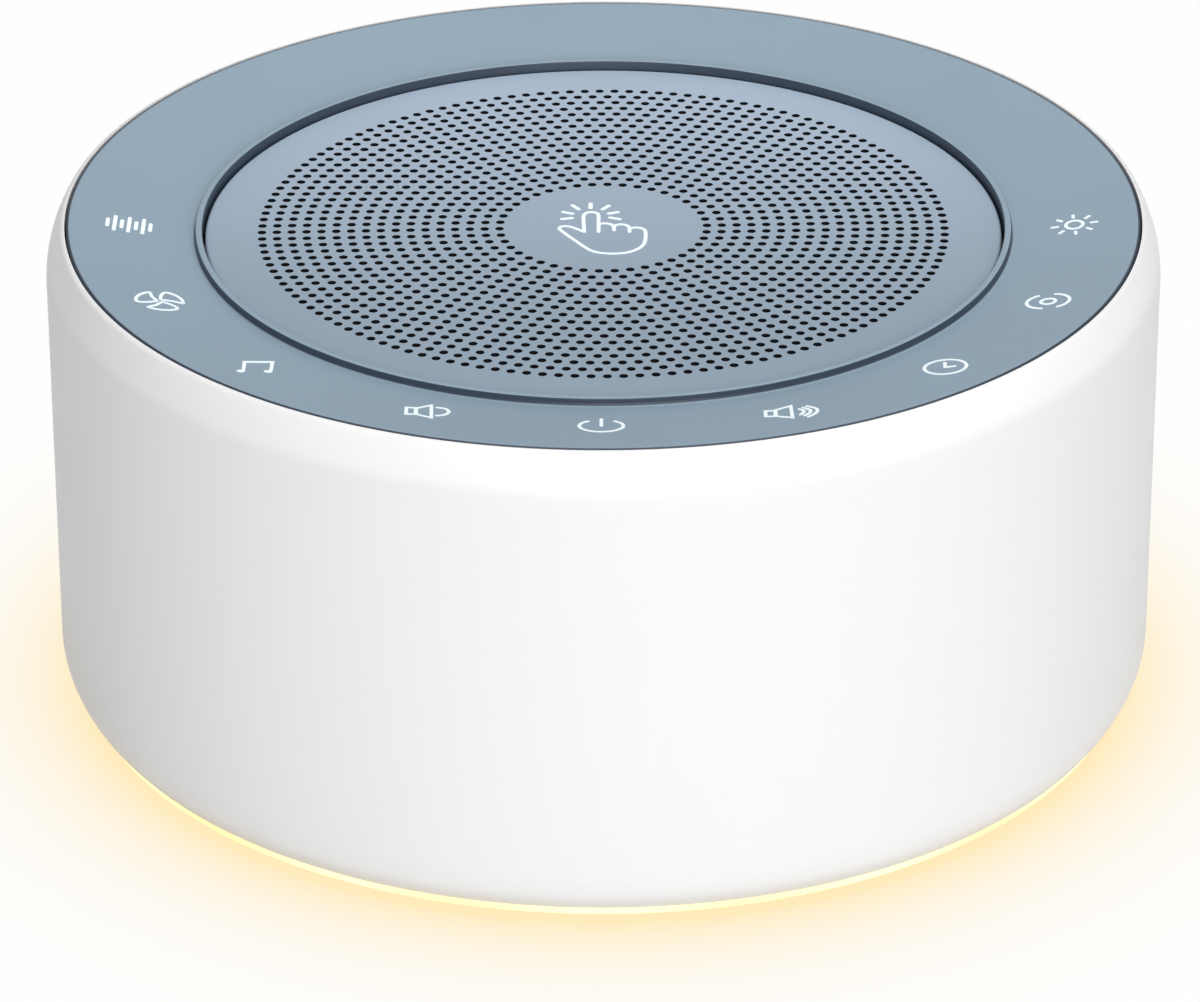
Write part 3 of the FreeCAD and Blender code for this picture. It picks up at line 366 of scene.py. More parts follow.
# Drum: one white moulding with a soft shoulder and an inlet at the back
drum = {
    "steps": 288,                                    # facets round it
    "wall": 2.2 * mm, "rimRound": 0.6 * mm,
    "shoulder": 9.9 * mm, "sweep": 30.0,             # radius and degrees of its curve
    "footInset": 1.75 * mm, "footRise": 4.3 * mm,    # curve from the wall to the bottom edge
    "footSteps": 14, "shoulderSteps": 12, "rimSteps": 8,
    "deckDrop": 4.8 * mm, "deckThick": 2.0 * mm, "mouth": 27.0 * mm,
    "slotClear": 0.2 * mm, "corner": 0.9,            # corners as a share of half the height
    "recessWidth": 12.6 * mm, "recessHeight": 6.8 * mm, "recessDepth": 0.9 * mm,
    "cutOver": 2.0 * mm,                             # how far the cutting tools stick out
    "highlightFrom": 4.2 * mm, "highlightTo": 2.6 * mm,    # painted highlight, below the rim
    "footShadeFrom": 2.4 * mm, "footShadeTo": 0.3 * mm,        # painted shade at the foot, above the bottom edge
}
inletLow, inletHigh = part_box("usb_inlet")
inletMiddle = (inletLow.z + inletHigh.z) / 2
inletHalf = ((inletHigh.x - inletLow.x) / 2, (inletHigh.z - inletLow.z) / 2)


def drumFinish():
    # satin white plastic, with a painted highlight over the shoulder and painted shade greying the
    # foot
    finish = Finish("drum_white")
    cloud = finish.noise(45.0, 2.0)
    grain = finish.noise(3000.0, 2.0, 0.7)
    up = finish.up()
    # painted highlight: lighter over the shoulder, below the rim
    highlightShare = finish.between(up, rimZ - drum["highlightFrom"], rimZ - drum["highlightTo"])
    # painted shade: greyer over the foot, above the bottom edge
    clear = finish.between(up, liftZ + drum["footShadeTo"], liftZ + drum["footShadeFrom"])
    body = finish.blend(highlightShare, colours["drum"], colours["shoulder"])
    body = finish.blend(clear, colours["paintedFootShade"], body)
    return finish.principled(Base_Color=body, Roughness=finish.spread(cloud, 0.36, 0.42),
                             Normal=finish.bump(grain, 0.004 * mm, 0.35))


def drumSection():
    sweep = math.radians(drum["sweep"])
    big, small = drum["shoulder"], drum["rimRound"]
    wallTop = rimZ - big * math.sin(sweep) - small * (1 - math.sin(sweep))
    rimR = drumR - big * (1 - math.cos(sweep)) - small * math.cos(sweep)
    inset, rise = drum["footInset"], drum["footRise"]
    footCurve = (inset ** 2 + rise ** 2) / (2 * inset)
    footTurn = math.degrees(math.asin(rise / footCurve))
    inner = drumR - drum["wall"]
    section = arc((drumR - footCurve, liftZ + rise), footCurve, -footTurn, 0, drum["footSteps"])
    section += arc((drumR - big, wallTop), big, 0, drum["sweep"], drum["shoulderSteps"])
    section += arc((rimR, rimZ - small), small, drum["sweep"], 90, drum["rimSteps"])[1:]
    deck = rimZ - drum["deckDrop"]
    under = deck - drum["deckThick"]
    section += [(rimR, deck), (drum["mouth"], deck), (drum["mouth"], under), (inner, under),
                (inner, liftZ + rise), (drumR - inset - drum["wall"] + drum["slotClear"], liftZ)]
    return section


def stadium(halfWidth, halfHeight, corner, height=inletMiddle, count=6):
    # outline of a slot across the back, at a height
    points = []
    for turn, (side, level) in enumerate(((1, 1), (-1, 1), (-1, -1), (1, -1))):
        middle = (side * (halfWidth - corner), level * (halfHeight - corner))
        points += arc(middle, corner, 90 * turn, 90 * turn + 90, count)
    return [(x, z + height) for x, z in points]


def prism(mesh, outline, front, back):
    # an outline in X and Z drawn out along Y
    near = [mesh.verts.new((x, front, z)) for x, z in outline]
    far = [mesh.verts.new((x, back, z)) for x, z in outline]
    mesh.faces.new(near)
    mesh.faces.new(far[::-1])
    bridge(mesh, near, far)


def cutter(name, outline, front, back):
    mesh = bmesh.new()
    prism(mesh, outline, front, back)
    bmesh.ops.recalc_face_normals(mesh, faces=mesh.faces)
    return toObject(name, toMesh(name, mesh))


def carve(target, tools):
    # cuts the tools out of the target for good and throws them away
    for tool in tools:
        change = target.modifiers.new("cut", "BOOLEAN")
        change.operation = "DIFFERENCE"
        change.solver = "EXACT"
        change.object = tool
    bpy.context.view_layer.update()
    result = target.evaluated_get(bpy.context.evaluated_depsgraph_get())
    shaped = bpy.data.meshes.new_from_object(result)
    target.modifiers.clear()
    target.data = shaped
    shaped.set_sharp_from_angle(angle=math.radians(sharpTurn))
    for tool in tools:
        bpy.data.objects.remove(tool)


def makeDrum():
    mesh = bmesh.new()
    lathe(mesh, drumSection(), drum["steps"])
    shell = piece("drum_shell", mesh, drumFinish(), "housing", "outer_housing")
    clear, corner = drum["slotClear"], drum["corner"]
    slot = stadium(inletHalf[0] + clear, inletHalf[1] + clear, inletHalf[1] * corner)
    halfWidth, halfHeight = drum["recessWidth"] / 2, drum["recessHeight"] / 2
    recess = stadium(halfWidth, halfHeight, halfHeight * corner)
    reach = drumR + drum["cutOver"]
    carve(shell, [cutter("slot", slot, drumR / 2, reach),
                  cutter("recess", recess, drumR - drum["recessDepth"], reach)])


# USB-C inlet: steel shell, black tongue, gold contacts
inlet = {
    "wall": 0.3 * mm,
    "tongueHalf": (3.35 * mm, 0.35 * mm), "tongueSet": 1.0 * mm, "tongueRound": 0.2 * mm,
    "contacts": 12, "contactPitch": 0.5 * mm, "contactWidth": 0.26 * mm,
    "contactSkin": 0.03 * mm,                        # how far a contact stands off the tongue
    "contactFront": 0.4 * mm, "contactBack": 1.0 * mm,
}


def makeInlet():
    wall, corner = inlet["wall"], inletHalf[1] * drum["corner"]
    outer = stadium(*inletHalf, corner)
    inner = stadium(inletHalf[0] - wall, inletHalf[1] - wall, corner - wall)
    front, back = inletHigh.y, inletLow.y
    floor = back + wall
    mesh = bmesh.new()
    loops = [[mesh.verts.new((x, y, z)) for x, z in outline]
             for outline, y in ((outer, back), (outer, front), (inner, front), (inner, floor))]
    for first, second in zip(loops, loops[1:]):
        bridge(mesh, first, second)
    mesh.faces.new(loops[0])
    mesh.faces.new(loops[-1])
    steel = brushed("inlet_steel", (0.62, 0.62, 0.63, 1), 0.3)
    piece("inlet_shell", mesh, steel, "inlet", "usb_inlet")

    mesh = bmesh.new()
    tongueFront = front - inlet["tongueSet"]
    prism(mesh, stadium(*inlet["tongueHalf"], inlet["tongueRound"], count=3), tongueFront, floor)
    piece("inlet_tongue", mesh, moulded("inlet_black", tone(26, 26, 28), 0.45), "inlet")

    mesh = bmesh.new()
    half, skin = inlet["contactWidth"] / 2, inlet["contactSkin"]
    for index in range(inlet["contacts"]):
        x = (index - (inlet["contacts"] - 1) / 2) * inlet["contactPitch"]
        for side in (-1, 1):
            level = inletMiddle + side * (inlet["tongueHalf"][1] + skin / 2)
            low, high = level - skin, level + skin
            strip = [(x - half, low), (x + half, low), (x + half, high), (x - half, high)]
            prism(mesh, strip, tongueFront - inlet["contactFront"], floor + inlet["contactBack"])
    gold = brushed("contact_gold", (0.85, 0.62, 0.25, 1), 0.25)
    piece("inlet_contacts", mesh, gold, "inlet", sharp=20)


# Touch ring: dished face with a raised lip round the grille
panel = {
    "steps": 288, "faceSteps": 26, "filletSteps": 8, "roundSteps": 5,
    "fall": 1.7 * mm,                                # depth of the dish
    "lipR": 37.4 * mm, "lipWidth": 0.65 * mm, "lipRise": 0.72 * mm,
    "fillet": 0.3 * mm, "lipRound": 0.12 * mm,
    "edgeRound": 0.2 * mm, "edgeSweep": 80.0,        # degrees
    "skin": 1.7 * mm, "skirt": 1.6 * mm,
    "skirtUp": 1.7 * mm,                             # skirts end on their tape, bosses go on down
    "edgeShade": 0.3 * mm, "edgeShadeEnd": 0.18 * mm,        # painted shade at the outer edge: where it starts and is full
    "wallSlope": 0.6, "faceSlope": 0.975,            # upright part of the normal: painted wall shade, blue-grey
}
dishZ = rimZ - panel["fall"]
lipOutR = panel["lipR"] + panel["lipWidth"]
dishInR = lipOutR + panel["fillet"]
dishOutR = panelR - panel["edgeRound"]


def panelFinish():
    # blue-grey satin face; painted shade turns the lip's walls and the outer edge dark slate
    finish = Finish("panel_blue")
    slope = finish.axes(finish.node("ShaderNodeNewGeometry", output="Normal"))[2]
    # painted shade: steep faces such as the lip's walls turn dark
    wall = finish.between(slope, panel["wallSlope"], panel["faceSlope"], 1.0, 0.0)
    # painted shade along the outer edge, where the ring meets the drum
    edgeShade = finish.between(finish.radius(), panelR - panel["edgeShade"], panelR - panel["edgeShadeEnd"])
    cloud = finish.noise(50.0, 2.0)
    grain = finish.noise(3600.0, 2.0, 0.7)
    face = finish.blend(cloud, shade(colours["panel"], 0.97), shade(colours["panel"], 1.02))
    body = finish.blend(edgeShade, finish.blend(wall, face, colours["wallShade"]), colours["wallShade"])
    return finish.principled(Base_Color=body, Roughness=finish.spread(cloud, 0.4, 0.46),
                             Normal=finish.bump(grain, 0.005 * mm, 0.35))


def dishHeight(radius):
    # height of the dished face at a radius
    return dishZ + (radius - dishInR) / (dishOutR - dishInR) * panel["fall"]


def makePanel():
    lipR, skirt = panel["lipR"], panel["skirt"]
    fillet, rounding, edge = panel["fillet"], panel["lipRound"], panel["edgeRound"]
    lipZ = dishZ + panel["lipRise"]
    under = dishZ - panel["skin"]
    low = panelLow.z + panel["skirtUp"]
    few, count = panel["roundSteps"], panel["faceSteps"]
    section = arc((dishOutR, rimZ - edge), edge, 0, panel["edgeSweep"], few)
    for step in range(count + 1):
        radius = dishOutR - (dishOutR - dishInR) * step / count
        section.append((radius, dishHeight(radius)))
    section += arc((dishInR, dishZ + fillet), fillet, 270, 180, panel["filletSteps"])[1:]
    section += arc((lipOutR - rounding, lipZ - rounding), rounding, 0, 90, few)
    section += arc((lipR + rounding, lipZ - rounding), rounding, 90, 180, few)
    section += [(lipR, low), (lipR + skirt, low), (lipR + skirt, under),
                (panelR - skirt, under), (panelR - skirt, low), (panelR, low)]
    mesh = bmesh.new()
    lathe(mesh, section, panel["steps"])
    piece("touch_ring", mesh, panelFinish(), "panel", "touch_panel")


# Grille: 17 rings of round holes, six more in each ring
grille = {
    "thick": 1.0 * mm, "edgeRound": 0.3 * mm, "edgeSteps": 8, "rimSteps": 240,
    "firstRing": 7, "lastRing": 23, "moreEachRing": 6,
    "holeWidth": 0.6,                                # in hole pitches
    "holeSides": 14,
    "turn": 1.87,                                    # degrees from +X to each ring's first hole
    "reflectionStart": -0.8, "reflectionEnd": 1.1,              # ends of the painted reflection, which lightens the paint towards the back, in radii
}
plateR = grilleR - grille["edgeRound"]


def grilleFinish():
    # satin paint on pressed metal, with the fine orange peel of sprayed paint and a painted
    # reflection lighter towards the back
    finish = Finish("grille_paint")
    cloud = finish.noise(40.0, 2.0)
    peel = finish.noise(900.0, 3.0, 0.6)
    grain = finish.noise(4200.0, 2.0, 0.7)
    deep = finish.axes(finish.place())[1]
    # painted reflection: the paint lightens from front to back
    far = finish.between(deep, grille["reflectionStart"] * grilleR, grille["reflectionEnd"] * grilleR)
    paintAndReflection = finish.blend(far, colours["grille"], colours["grilleFarReflection"])
    body = finish.node("ShaderNodeVectorMath", {"operation": "SCALE"},
                       {0: paintAndReflection, 3: finish.spread(cloud, 0.97, 1.02)})
    bumps = finish.bump(grain, 0.004 * mm, 0.3, finish.bump(peel, 0.01 * mm, 0.25))
    return finish.principled(Base_Color=body, Roughness=finish.spread(peel, 0.36, 0.44, 0.3),
                             Normal=bumps)


def circle(middle, radius, count):
    turns = [2 * math.pi * step / count for step in range(count)]
    return [middle + Vector((math.cos(turn), math.sin(turn))) * radius for turn in turns]


def holeMiddles():
    spots = []
    for ring in range(grille["firstRing"], grille["lastRing"] + 1):
        count = grille["moreEachRing"] * ring
        for index in range(count):
            angle = math.radians(grille["turn"]) + 2 * math.pi * index / count
            spots.append(Vector((math.cos(angle), math.sin(angle))) * (ring * pitch))
    return spots


def makeGrille():
    # the plate is one face with all its holes, filled in plan, then given its thickness
    steps, sides = grille["rimSteps"], grille["holeSides"]
    points = circle(Vector((0, 0)), plateR, steps)
    edges = [(step, (step + 1) % steps) for step in range(steps)]
    owner = [None] * steps              # the hole each point belongs to
    middles = holeMiddles()
    for hole, middle in enumerate(middles):
        first = len(points)
        points += circle(middle, grille["holeWidth"] / 2 * pitch, sides)
        edges += [(first + side, first + (side + 1) % sides) for side in range(sides)]
        owner += [hole] * sides
    filled = delaunay_2d_cdt(points, edges, [], 0, 1e-9)
    spots, faces, sources = filled[0], filled[2], filled[3]

    underZ = grilleZ - grille["thick"]
    mesh = bmesh.new()
    top = [mesh.verts.new((spot.x, spot.y, grilleZ)) for spot in spots]
    bottom = [mesh.verts.new((spot.x, spot.y, underZ)) for spot in spots]
    for face in faces:
        owners = {owner[sources[index][0]] for index in face}
        if len(owners) == 1 and None not in owners:
            continue                    # this one fills a hole
        mesh.faces.new([top[index] for index in face])
        mesh.faces.new([bottom[index] for index in reversed(face)])
    placed = {origin[0]: index for index, origin in enumerate(sources)}
    for start, end in edges[steps:]:
        first, second = placed[start], placed[end]
        wall = mesh.faces.new((top[second], top[first], bottom[first], bottom[second]))
        wall.material_index = 1
    edge = grille["edgeRound"]
    rolled = arc((plateR, grilleZ - edge), edge, 90, 0, grille["edgeSteps"])
    lathe(mesh, rolled + [(grilleR, deckZ), (plateR, deckZ), (plateR, underZ)], steps, closed=False)
    bmesh.ops.recalc_face_normals(mesh, faces=mesh.faces)
    # painted shade: the walls of the holes are near-black
    holeShadeFinish = moulded("hole_painted_shade", colours["hole"], 0.6)
    piece("perforated_grille", mesh, [grilleFinish(), holeShadeFinish], "grille", "speaker_grille",
          outward=False)
    print("scene: grille has", len(middles), "holes")


# Symbols: strokes in hole pitches, x to the right and y away, laid on the face below them
symbolPrint = {
    "line": 0.235, "barLine": 0.27, "tapLine": 0.255,          # stroke widths
    "rayShare": 1.15,                                # rays to the hand's lines
    "height": 0.025 * mm,                            # ink above the face
    "sunk": -0.5,                                    # its underside, in heights of ink
    "ring": 31.8, "size": 0.965, "nearer": 0.12,     # where the symbols stand, and their scale
    "noteHead": (0.26, 0.22),
    "longest": 0.35,                                 # longest run without a point
    # painted glow: the ink gives off light of its own
    "shine": 0.22,
}


def printFinish():
    # white ink, a touch uneven, with a painted glow: it gives off a little light of its own
    finish = Finish("symbol_print")
    cloud = finish.noise(2500.0, 2.0)
    body = finish.blend(cloud, shade(colours["print"], 0.97), colours["print"])
    return finish.principled(Base_Color=body, Roughness=0.5, Emission_Color=colours["print"],
                             Emission_Strength=symbolPrint["shine"],
                             Normal=finish.bump(cloud, 0.004 * mm, 0.3))


def ellipse(middle, wide, deep, start, end, count=28):
    turns = [math.radians(start + (end - start) * step / count) for step in range(count + 1)]
    return [(middle[0] + wide * math.cos(turn), middle[1] + deep * math.sin(turn))
            for turn in turns]


def soften(points, closed, count=6):
    # a smooth line through given points
    total = len(points)
    smooth = []
    for index in range(total if closed else total - 1):
        near = [index + shift for shift in (-1, 0, 1, 2)]
        near = [spot % total if closed else min(max(spot, 0), total - 1) for spot in near]
        before, start, end, after = [Vector(points[spot]) for spot in near]
        for step in range(count):
            t = step / count
            smooth.append(tuple(0.5 * (2 * start + (end - before) * t
                                       + (2 * before - 5 * start + 4 * end - after) * t * t
                                       + (3 * start - before - 3 * end + after) * t ** 3)))
    return smooth if closed else smooth + [tuple(points[-1])]


def turnedBy(points, degrees):
    cosine, sine = math.cos(math.radians(degrees)), math.sin(math.radians(degrees))
    return [(x * cosine - y * sine, x * sine + y * cosine) for x, y in points]


def shifted(points, middle):
    return [(middle[0] + x, middle[1] + y) for x, y in points]


def rays(middle, count, near, far):
    spoke = [(near, 0), (far, 0)]
    return [(shifted(turnedBy(spoke, 360 * index / count), middle), False)
            for index in range(count)]


def fine(points, closed):
    # extra points on long straight runs so that they follow the dished face
    result = []
    for start, end in zip(points, points[1:] + points[:1] if closed else points[1:]):
        parts = max(1, math.ceil(math.dist(start, end) / symbolPrint["longest"]))
        for step in range(parts):
            share = step / parts
            result.append((start[0] + (end[0] - start[0]) * share,
                           start[1] + (end[1] - start[1]) * share))
    return result if closed else result + [points[-1]]


def strokeSides(points, closed, half):
    # the left and right side of a stroke
    total = len(points)
    left, right = [], []
    for index, point in enumerate(points):
        before = points[index - 1] if closed or index else point
        after = points[(index + 1) % total] if closed or index < total - 1 else point
        into = Vector(point) - Vector(before)
        out = Vector(after) - Vector(point)
        into = into.normalized() if into.length > weld else out.normalized()
        out = out.normalized() if out.length > weld else into
        along = (into + out).normalized()
        # a sharp corner reaches no more than twice as far
        across = Vector((-along.y, along.x)) * (half / max(along.dot(out), 0.5))
        left.append(Vector(point) + across)
        right.append(Vector(point) - across)
    return left, right


def roundEnd(tip, behind, half):
    # points round the tip of a stroke, from its left to its right
    step = Vector(tip) - Vector(behind)
    along = math.atan2(step.y, step.x)
    turns = [along + math.radians(turn) for turn in (60, 30, 0, -30, -60)]
    return [Vector(tip) + Vector((math.cos(turn), math.sin(turn))) * half for turn in turns]


def ribbon(mesh, points, closed, width, lay):
    # a flat stroke; lay gives the place of a plan point at a height above the face
    half = width / 2
    left, right = strokeSides(points, closed, half)
    rows = [left, right]
    if not closed:
        rows += [roundEnd(points[-1], points[-2], half), roundEnd(points[0], points[1], half)]
    skins = []
    for level in (1.0, symbolPrint["sunk"]):
        placed = [[mesh.verts.new(lay(point, level)) for point in row] for row in rows]
        bridge(mesh, placed[0], placed[1], closed)
        if not closed:
            leftRow, rightRow, far, near = placed
            mesh.faces.new([leftRow[-1]] + far + [rightRow[-1]])
            mesh.faces.new([rightRow[0]] + near + [leftRow[0]])
            placed = [leftRow + far + rightRow[::-1] + near]
        skins.append(placed)
    for upper, lower in zip(*skins):
        bridge(mesh, upper, lower)


def disc(mesh, middle, size, lay, count=20):
    rim = ellipse(middle, *size, 0, 360 - 360 / count, count - 1)
    levels = [[mesh.verts.new(lay(Vector(point), level)) for point in rim]
              for level in (1.0, symbolPrint["sunk"])]
    for level in levels:
        mesh.faces.new(level)
    bridge(mesh, *levels)


def barsSymbol():
    strokes = []
    for index, half in enumerate((0.57, 1.14, 0.57, 1.14, 0.57, 1.14, 0.57)):
        x = -1.61 + 0.494 * index
        strokes.append(([(x, 0.25 - half), (x, 0.25 + half)], False, symbolPrint["barLine"]))
    return strokes


def fanSymbol():
    blade = [(0.02, 0.3), (0.0, 0.82), (0.12, 1.42), (0.42, 1.6), (0.96, 1.3), (1.38, 0.76),
             (1.56, 0.14), (1.42, 0.05), (0.84, 0.21), (0.14, 0.22)]
    return [(shifted(turnedBy(soften(blade, True, 4), turn), (-0.12, 0.26)), True)
            for turn in (0, 120, 240)]


def noteSymbol():
    return [([(-1.1, -0.96), (-1.1, 0.84), (0.74, 1.3), (0.7, -0.62)], False),
            ([(-1.1, 0.8), (0.72, 1.25)], False, symbolPrint["barLine"])]


def speakerSymbol(box, horn, *waves):
    left, right, low, high = box
    outline = [(left, low), (right, low), (right, high), (left, high)]
    return [(outline, True), (horn, True)] + [(soften(wave, False), False) for wave in waves]


def powerSymbol():
    return [(ellipse((-0.18, 0.48), 1.45, 1.22, 127, 413), False),
            ([(-0.18, 0.46), (-0.18, 1.9)], False)]


def clockSymbol():
    return [(ellipse((0.04, 0.0), 1.4, 1.38, 0, 350, 35), True),
            ([(0.04, 0.78), (0.02, -0.06), (0.66, -0.02)], False)]


def lampSymbol():
    return [(ellipse((0.18, -0.18), 0.5, 0.48, 0, 345, 23), True),
            (ellipse((0.18, -0.16), 1.46, 1.24, 113, 248), False),
            (ellipse((0.18, -0.16), 1.46, 1.24, 67, -68), False)]


def sunSymbol():
    middle = (-0.12, -0.04)
    return [(ellipse(middle, 0.6, 0.66, 0, 345, 23), True)] + rays(middle, 8, 1.16, 1.56)


symbols = [     # degrees round the ring from +X, strokes, middles of any filled dots
    (-178.0, barsSymbol()),
    (-155.7, fanSymbol()),
    (-133.9, noteSymbol(), (-1.28, -1.02), (0.5, -0.64)),
    (-110.7, speakerSymbol(
        (-1.34, -0.72, -0.12, 1.2), [(-0.7, 1.12), (0.28, 1.88), (0.34, -0.68), (-0.66, -0.1)],
        [(0.66, 1.46), (1.2, 1.3), (1.46, 0.66), (1.2, 0.06), (0.66, -0.22)])),
    (-90.0, powerSymbol()),
    (-68.2, speakerSymbol(
        (-1.64, -1.0, -0.74, 0.4), [(-0.98, 0.5), (0.04, 1.2), (0.1, -1.22), (-0.96, -0.76)],
        [(0.58, 0.46), (0.84, 0.14), (0.86, -0.24), (0.62, -0.68)],
        [(0.84, 0.72), (1.26, 0.2), (1.28, -0.32), (0.9, -0.92)],
        [(1.1, 0.98), (1.66, 0.44), (1.76, -0.1), (1.58, -0.64), (1.14, -1.2)])),
    (-46.5, clockSymbol()),
    (-24.4, lampSymbol()),
    (-2.0, sunSymbol()),
]

# The tapping hand: three fingers, the palm with its thumb, and short rays round the fingertip
handLines = [
    [(-1.29, -0.79), (-1.33, 0.7), (-1.34, 1.75), (-1.24, 2.15), (-1.02, 2.38), (-0.8, 2.42),
     (-0.57, 2.36), (-0.37, 2.12), (-0.32, 1.75), (-0.32, 0.8), (-0.32, -0.79)],
    [(-0.32, 0.38), (-0.1, 0.55), (0.16, 0.59), (0.46, 0.46), (0.68, 0.12), (0.72, -0.53)],
    [(0.72, 0.12), (0.94, 0.35), (1.2, 0.42), (1.5, 0.31), (1.74, -0.04), (1.76, -0.79)],
    [(1.76, -0.36), (1.93, -0.16), (2.21, -0.1), (2.53, -0.19), (2.77, -0.49), (2.84, -0.96),
     (2.82, -2.04), (2.66, -2.91), (2.23, -3.62), (1.52, -4.12), (0.66, -4.27), (-0.16, -4.16),
     (-0.79, -3.81), (-1.22, -3.27), (-1.78, -2.37), (-2.37, -1.4), (-2.86, -0.53),
     (-2.97, -0.21), (-2.84, 0.07), (-2.52, 0.14), (-2.09, -0.04), (-1.29, -0.79)],
]
tapRays = [
    [(-0.86, 3.1), (-0.86, 3.79)], [(-1.66, 2.88), (-2.09, 3.53)], [(-0.04, 2.88), (0.38, 3.46)],
    [(-2.09, 2.17), (-2.73, 2.45)], [(0.38, 2.17), (0.98, 2.41)], [(-2.13, 1.46), (-2.8, 1.3)],
    [(0.46, 1.52), (1.11, 1.26)],
]
symbolSharp = 60    # degrees


def makeSymbols(finish):
    for index, (turn, strokes, *dots) in enumerate(symbols):
        angle = math.radians(turn)
        spot = Vector((math.cos(angle), math.sin(angle))) * symbolPrint["ring"]
        spot.y -= symbolPrint["nearer"]

        def lay(point, level):
            place = (Vector(point) * symbolPrint["size"] + spot) * pitch
            return (place.x, place.y, dishHeight(place.length) + level * symbolPrint["height"])

        mesh = bmesh.new()
        for points, closed, *width in strokes:
            ribbon(mesh, fine(points, closed), closed, *(width or [symbolPrint["line"]]), lay)
        for middle in dots:
            disc(mesh, middle, symbolPrint["noteHead"], lay)
        piece("symbol_%d" % (index + 1), mesh, finish, "panel", sharp=symbolSharp)


def makeTapSymbol(finish):
    def lay(point, level):
        return (point[0] * pitch, point[1] * pitch, grilleZ + level * symbolPrint["height"])

    mesh = bmesh.new()
    for line in handLines:
        ribbon(mesh, soften(line, False), False, symbolPrint["tapLine"], lay)
    for line in tapRays:
        ribbon(mesh, line, False, symbolPrint["tapLine"] * symbolPrint["rayShare"], lay)
    piece("symbol_tap", mesh, finish, "grille", sharp=symbolSharp)


# Light ring under the drum
ringLow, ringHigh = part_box("light_ring")
lightRing = {
    "steps": 240, "roundSteps": 5, "edgeRound": 0.2 * mm,
    "width": 3.3 * mm, "upstand": 1.7 * mm,
    "emitters": 12.0, "shine": 0.95,
}


def glowFinish():
    # frosted diffuser, brighter near each of the emitters behind it
    finish = Finish("diffuser_lit")
    across, deep = finish.axes(finish.place())[:2]
    turn = finish.maths("ARCTAN2", deep, across)
    wave = finish.maths("COSINE", turn * lightRing["emitters"])
    lit = finish.blend(wave * 0.5 + 0.5, colours["glowBetween"], colours["glowNear"])
    frost = finish.noise(5000.0, 2.0)
    return finish.principled(Base_Color=colours["glowBody"], Roughness=0.6, Emission_Color=lit,
                             Emission_Strength=lightRing["shine"],
                             Normal=finish.bump(frost, 0.01 * mm, 0.4))


def makeLightRing():
    edge = lightRing["edgeRound"]
    inner = ringHigh.x - lightRing["width"]
    wall = inner + lightRing["upstand"]
    section = arc((ringHigh.x - edge, ringLow.z + edge), edge, -90, 0, lightRing["roundSteps"])
    section += [(ringHigh.x, liftZ), (wall, liftZ), (wall, ringHigh.z), (inner, ringHigh.z),
                (inner, ringLow.z)]
    mesh = bmesh.new()
    lathe(mesh, section, lightRing["steps"])
    piece("glow_ring", mesh, glowFinish(), "diffuser", "light_ring")


# Feet: four rubber pads, each with a shallow dish in its sole
feet = {
    "count": 4, "radius": 5.0 * mm, "steps": 48, "roundSteps": 5,
    "round": 0.35 * mm, "dish": 0.15 * mm,
    "dishFloor": 0.7, "dishRim": 0.78,               # in radii of a foot
}


def makeFeet():
    low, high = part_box("rubber_feet")
    radius, edge = feet["radius"], feet["round"]
    floor = low.z + feet["dish"]
    section = [(0, high.z), (0, floor), (radius * feet["dishFloor"], floor),
               (radius * feet["dishRim"], low.z)]
    section += arc((radius - edge, low.z + edge), edge, -90, 0, feet["roundSteps"])
    section.append((radius, high.z))
    mesh = bmesh.new()
    for spot in circle(Vector((0, 0)), high.x - radius, feet["count"]):
        lathe(mesh, section, feet["steps"], middle=spot)
    rubber = moulded("foot_rubber", tone(150, 152, 154), 0.85, 0.2 * mm, 0.02 * mm)
    piece("grip_feet", mesh, rubber, "feet", "rubber_feet")


# Surround and centring disc: turned rings cut into sectors between the cone and the basket
surround = {
    "parts": 16, "thick": 0.4 * mm, "rollSteps": 14,
    "coneRim": 1.4 * mm,                             # glued to the cone
    "land": 1.9 * mm,                                # glued to the basket
}
centring = {
    "parts": 12, "thick": 0.35 * mm,
    "wave": 0.5 * mm, "waves": 3, "waveSteps": 36,   # half height of the waves, their number
    "land": 1.4 * mm,                                # glued to the basket's shelf
}
sectorFacets = 6
sectorSharp = 50    # degrees


def sector(mesh, low, high, start, end):
    # a closed slice of a turned ring between its lower and its upper line
    count = len(low)
    angles = [start + (end - start) * step / sectorFacets for step in range(sectorFacets + 1)]
    rings = slices(mesh, low + high[::-1], angles)
    for here, there in zip(rings, rings[1:]):
        bridge(mesh, here, there)
    for ring in (rings[0], rings[-1]):
        bridge(mesh, ring[:count], ring[count:][::-1], closed=False)


def softRing(name, lines, parts, inner, outer, *looks):
    # a turned ring cut into sectors, each its own piece, baked where it stands
    turn = 2 * math.pi / parts
    for index in range(parts):
        mesh = bmesh.new()
        sector(mesh, *lines, index * turn, (index + 1) * turn)
        made = piece("%s_%d" % (name, index + 1), mesh, *looks, body=None, sharp=sectorSharp)
        middle = (index + 0.5) * turn
        across, deep = math.cos(middle), math.sin(middle)
        reach = outer * math.cos(turn / 2)      # out to the middle of a sector's sides
        reach * across
        reach * deep
        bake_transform(made)


